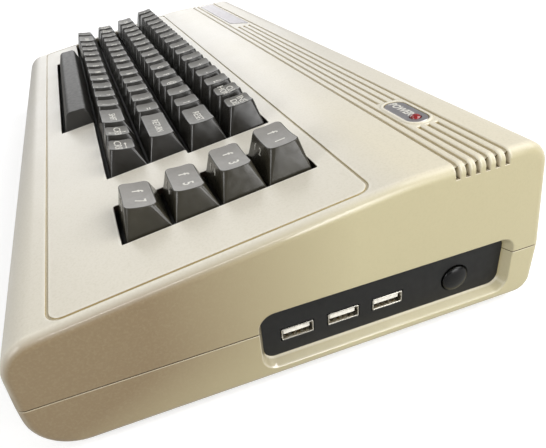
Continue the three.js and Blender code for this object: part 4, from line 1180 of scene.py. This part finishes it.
def screw_mesh(x):
    """A pan-head screw, seen from below, with a crossed slot."""
    head = [(0, -2.4), (2.0, -2.35), (2.9, -2.0), (SCREW_HEAD, -1.2), (SCREW_HEAD, 0), (1.5, 0),
            (1.5, 20), (0, 20.8)]
    bm = turned_solid(head, 40)
    for turn in (45, 135):
        arm = prism(rectangle(-SLOT_HALF, -0.35, SLOT_HALF, 0.35), -3, -1.3)
        bm = combine(bm, solid(arm, Matrix.Rotation(radians(turn), 4, "Z")), "DIFFERENCE")
    bm.transform(moved(x, SCREW_Y, FOOT_HEIGHT + SCREW_DEPTH))
    return bm


# Operators


class COMPUTER_OT_case(bpy.types.Operator):
    """Build the two halves of the case"""

    bl_idname = "computer.case"
    bl_label = "Build Case"

    def execute(self, context):
        settings = context.scene.computer_shell
        material = shell_material(settings)
        finish_piece(shell_top(settings), "shell_top", [material], "top_case")
        finish_piece(shell_bottom(settings), "shell_bottom", [material], "bottom_case")
        return {"FINISHED"}


class COMPUTER_OT_keys(bpy.types.Operator):
    """Build the caps of all keys, with their words"""

    bl_idname = "computer.keys"
    bl_label = "Build Keys"

    def execute(self, context):
        settings = context.scene.computer_keys
        materials = [
            cap_material("cap_plastic", settings.color, 0.2, 0.000003),
            # The tops' material has a colour painted lighter than the sides, for the light they catch.
            cap_material("cap_top_plastic", settings.lit_top_color, 0.44, 0.000014),
            moulded("legend_plastic", settings.legend_color, (1, 0.86), (0.0012, 3), (0.002, 2, 0.38, 0.5), (0.0003, 2),
                    0.00001),
        ]
        for line, (start, keys) in enumerate(KEY_LINES):
            for node, width, legends in keys:
                bm = bmesh.new()
                caps = []
                for words in legends:
                    caps.append(Cap(start, width, line, CAP_SHARES[line], settings))
                    caps[-1].add_to(bm)
                    add_legend(bm, caps[-1], words, settings)
                    start += width
                if len(caps) > 1:
                    add_tie(bm, caps)
                place_keys(bm, node, materials)
        return {"FINISHED"}


class COMPUTER_OT_function_keys(bpy.types.Operator):
    """Build the four function keys"""

    bl_idname = "computer.function_keys"
    bl_label = "Build Function Keys"

    def execute(self, context):
        settings = context.scene.computer_keys
        materials = [
            cap_material("function_cap_plastic", settings.function_color, 0.2, 0.000003),
            # The tops' material has a colour painted lighter than the sides, for the light they catch.
            cap_material("function_cap_top_plastic", settings.function_lit_top, 0.44, 0.000014, 1.6),
            bpy.data.materials["legend_plastic"],
        ]
        size = settings.letter_size / MM
        for line, (node, number, shifted) in enumerate(FUNCTION_KEYS):
            front, *rest = CAP_SHARES[line]
            shares = (front - FUNCTION_FORWARD, *rest)
            cap = Cap(FUNCTION_START, FUNCTION_WIDTH, line, shares, settings, FUNCTION_CORNER)
            bm = bmesh.new()
            cap.add_to(bm)
            x, y = cap.top_middle
            for words, shift in (("f", -4.4), (number, 4)):
                lay(bm, text_bmesh(words, size, 0.02), (x + shift, y + 0.3), cap.surface)
            for words, shift in (("f", -5), (shifted, 0.7)):
                add_front_words(bm, cap, words, size * FRONT_WORD_SIZE, shift)
            place_keys(bm, node, materials)
        return {"FINISHED"}


class COMPUTER_OT_space_bar(bpy.types.Operator):
    """Build the space bar"""

    bl_idname = "computer.space_bar"
    bl_label = "Build Space Bar"

    def execute(self, context):
        settings = context.scene.computer_keys
        cap = Cap(BAR_START, BAR_WIDTH, -1, BAR_SHARES, settings)
        bm = bmesh.new()
        add_loft(bm, bar_rings(cap))
        for offset in (-BAR_GUIDE * PITCH, 0, BAR_GUIDE * PITCH):
            add_plunger(bm, cap.middle + Vector((offset, 0)), 0.5 - SKIRT_DROP)
        place_keys(bm, "space_bar", [cap_material("bar_plastic", settings.color, 0.46, 0.00001, 1.42)])
        return {"FINISHED"}


class COMPUTER_OT_panel(bpy.types.Operator):
    """Build the black side panel and the power button"""

    bl_idname = "computer.panel"
    bl_label = "Build Side Panel"

    def execute(self, context):
        settings = context.scene.computer_fittings
        black = settings.panel_color
        panel = moulded(
            "panel_plastic", black, (0.85, 1.2), (0.004, 4), (0.003, 3, 0.4, 0.52), (0.0004, 3, 0.6), 0.00002, IOR=1.38)
        glossy = moulded(
            "button_plastic", shades(black, 0.35), (0.85, 1.15), (0.003, 4), (0.002, 3, 0.2, 0.28), (0.0004, 2),
            0.000002, IOR=1.36)
        button = button_mesh(settings.round_steps)
        finish_piece(panel_mesh(), "side_panel_plate", [panel], "side_panel")
        finish_piece(button, "button_cap", [glossy], "power_button", "power_button")
        return {"FINISHED"}


class COMPUTER_OT_sockets(bpy.types.Operator):
    """Build the sockets at the right end and at the rear"""

    bl_idname = "computer.sockets"
    bl_label = "Build Sockets"

    def execute(self, context):
        metal = metal_material("socket_metal", context.scene.computer_fittings.metal_color, 0.26)
        gold = metal_material("contact_metal", srgb(206, 168, 92), 0.3)
        tongues = {
            "white": plain_material("tongue_plastic", srgb(236, 232, 220), 0.4, 0.0005, 0.00001),
            "black": plain_material("tongue_black", srgb(24, 24, 24), 0.4, 0.0005, 0.00001),
        }
        sockets = [
            (name, usb_outline(), USB_INSIDE, "white", moved(PANEL_FACE + SOCKET_PROUD, y, BOARD_TOP))
            for name, y in SIDE_SOCKETS]
        sockets += [
            (name, outline, inside, tongue, moved(x, REAR_FACE, BOARD_TOP, pi / 2, "Z"))
            for name, x, outline, inside, tongue in rear_sockets()]
        for name, outline, inside, tongue, matrix in sockets:
            bm = socket_mesh(outline, inside, matrix)
            finish_piece(bm, name + "_shell", [metal, tongues[tongue], gold], name)
        return {"FINISHED"}


class COMPUTER_OT_badges(bpy.types.Operator):
    """Build the badge plates and the power lamp"""

    bl_idname = "computer.badges"
    bl_label = "Build Badges"

    def execute(self, context):
        settings = context.scene.computer_fittings
        metal = metal_material("badge_metal", settings.badge_color, 0.38, (0.02, 1, 1))
        white = bpy.data.materials["legend_plastic"]
        plate = combine(plate_mesh(power_badge_outline(0)), lamp_tool(-OVERRUN, Matrix()), "DIFFERENCE")
        word = text_bmesh("POWER", 3.7, 0.045)
        place = (POWER_BADGE_X - 3.5, BADGE_LINE)
        lay(plate, word, place, lambda x, y: (Vector((x, y, BADGE_RISE)), UP), slot=1, squeeze=0.9)
        name = plate_mesh(name_badge_outline(0))
        for bm, node, materials in ((plate, "power_badge", [metal, white]), (name, "name_badge", [metal])):
            bm.transform(REAR_DECK)
            finish_piece(bm, node + "_plate", materials, node)
        lens = lamp_material(settings.lamp_color)
        finish_piece(lamp_mesh(settings.round_steps), "lamp_lens_dome", [lens], "power_lamp")
        return {"FINISHED"}


class COMPUTER_OT_underside(bpy.types.Operator):
    """Build the feet and the case screws"""

    bl_idname = "computer.underside"
    bl_label = "Build Feet and Screws"

    def execute(self, context):
        settings = context.scene.computer_fittings
        rubber = plain_material("foot_rubber", srgb(38, 38, 38), 0.7, 0.0006, 0.00003)
        for name, x, y in FEET:
            finish_piece(foot_mesh(settings.round_steps, x, y), name + "_pad", [rubber], name)
        metal = metal_material("screw_metal", settings.metal_color, 0.32)
        for name, x in SCREWS:
            finish_piece(screw_mesh(x), name + "_head", [metal], name)
        return {"FINISHED"}


class COMPUTER_OT_inside(bpy.types.Operator):
    """Finish the boards and the other parts inside the case"""

    bl_idname = "computer.inside"
    bl_label = "Finish Inside"

    def execute(self, context):
        board = board_material()
        dark = plain_material("frame_plastic", srgb(26, 25, 24), 0.5, 0.0006, 0.00002)
        fins = metal_material("sink_metal", srgb(176, 180, 184), 0.4, (1, 0.05, 1))
        ribbon = plain_material("ribbon_plastic", srgb(186, 182, 172), 0.5, 0.0008, 0.00001)
        finishes = {
            "main_board": board, "keyboard_board": board, "lamp_board": board, "keyboard_frame": dark,
            "power_switch": dark, "heat_sink": fins, "keyboard_ribbon": ribbon,
        }
        for name, material in finishes.items():
            materials = frame["nodes"][name].data.materials
            materials.clear()
            materials.append(material)
        return {"FINISHED"}


class COMPUTER_OT_stage(bpy.types.Operator):
    """Set up the floor, the lights and the camera"""

    bl_idname = "computer.stage"
    bl_label = "Set Up Stage"

    def execute(self, context):
        settings = context.scene.computer_stage
        context.scene.view_settings.view_transform = "Standard"
        add_floor(settings.floor_color)
        add_world(settings.sky)
        for name, place, target, size, setting, height in LIGHTS:
            add_light(name, place, target, size, getattr(settings, setting), height)
        add_camera(settings.lens)
        return {"FINISHED"}


# Stage


def add_floor(color):
    """A pale floor that glows only for the camera, so that it looks white around its shadow."""
    bm = bmesh.new()
    bmesh.ops.create_grid(bm, x_segments=8, y_segments=8, size=6)
    floor = add_object("floor", as_mesh(bm, "floor"))
    paint = Paint("floor_paint")
    paint.set(Base_Color=color, Roughness=0.9)
    seen = paint.node("ShaderNodeLightPath").outputs["Is Camera Ray"]
    light = paint.node("ShaderNodeEmission", {"Color": (1, 1, 1), "Strength": paint.both(seen, FLOOR_GLOW)})
    whole = paint.node("ShaderNodeAddShader", {0: paint.shader.outputs[0], 1: light.outputs[0]})
    paint.feed(paint.tree.nodes["Material Output"].inputs["Surface"], whole.outputs[0])
    floor.data.materials.append(paint.material)


def add_world(sky):
    """Even light all round, which the camera sees as white."""
    world = bpy.context.scene.world = bpy.data.worlds.new("studio")
    world.use_nodes = True
    nodes, links = world.node_tree.nodes, world.node_tree.links
    background = nodes["Background"]
    background.inputs["Color"].default_value = (1, 1, 1, 1)
    most = nodes.new("ShaderNodeMath")
    most.operation = "MAXIMUM"
    most.inputs[1].default_value = sky
    links.new(nodes.new("ShaderNodeLightPath").outputs["Is Camera Ray"], most.inputs[0])
    links.new(most.outputs[0], background.inputs["Strength"])


def add_light(name, place, target, size, power, height):
    """A round light, or a long one where it has a height."""
    light = bpy.data.lights.new(name, "AREA")
    light.shape = "RECTANGLE" if height else "DISK"
    light.size = size
    if height:
        light.size_y = height
    light.energy = power
    holder = add_object(name, light)
    holder.location = place
    holder.rotation_euler = (Vector(target) - Vector(place)).to_track_quat("-Z", "Y").to_euler()


def add_camera(lens):
    """The photograph's camera, with its centre shifted as in the photograph."""
    camera = bpy.data.cameras.new("camera")
    camera.lens = lens
    camera.sensor_width = 36
    width, height = PHOTO_SIZE
    camera.shift_x = (width / 2 - PHOTO_CENTRE[0]) / width
    camera.shift_y = (PHOTO_CENTRE[1] - height / 2) / width
    camera.clip_start, camera.clip_end = 0.01, 20
    holder = bpy.context.scene.camera = add_object("camera", camera)
    turn = Matrix((CAMERA_RIGHT, -CAMERA_DOWN, -CAMERA_AHEAD)).transposed()
    holder.matrix_world = Matrix.Translation(CAMERA_PLACE) @ turn.to_4x4()


class COMPUTER_PT_panel(bpy.types.Panel):
    """Buttons and sizes of the home computer"""

    bl_label = "Home Computer"
    bl_idname = "COMPUTER_PT_panel"
    bl_space_type = "VIEW_3D"
    bl_region_type = "UI"
    bl_category = "Computer"

    def draw(self, context):
        for group in (getattr(context.scene, name) for name in GROUPS):
            box = self.layout.box()
            for name in group.__annotations__:
                box.prop(group, name)
        for operator in OPERATORS:
            self.layout.operator(operator.bl_idname)


OPERATORS = (
    COMPUTER_OT_stage, COMPUTER_OT_case, COMPUTER_OT_keys, COMPUTER_OT_function_keys, COMPUTER_OT_space_bar,
    COMPUTER_OT_panel, COMPUTER_OT_sockets, COMPUTER_OT_badges, COMPUTER_OT_underside, COMPUTER_OT_inside,
)
GROUPS = {
    "computer_shell": ShellSettings, "computer_keys": KeySettings, "computer_fittings": FittingSettings,
    "computer_stage": StageSettings,
}


def register():
    for made in (*GROUPS.values(), *OPERATORS, COMPUTER_PT_panel):
        bpy.utils.register_class(made)
    for name, group in GROUPS.items():
        setattr(bpy.types.Scene, name, PointerProperty(type=group))


def unregister():
    for name in GROUPS:
        delattr(bpy.types.Scene, name)
    for made in (COMPUTER_PT_panel, *OPERATORS[::-1], *GROUPS.values()):
        bpy.utils.unregister_class(made)


def main():
    register()
    bpy.ops.computer.stage()
    bpy.ops.computer.case()
    bpy.ops.computer.keys()
    bpy.ops.computer.function_keys()
    bpy.ops.computer.space_bar()
    bpy.ops.computer.panel()
    bpy.ops.computer.sockets()
    bpy.ops.computer.badges()
    bpy.ops.computer.underside()
    bpy.ops.computer.inside()
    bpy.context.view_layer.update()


if __name__ == "__main__":
    main()
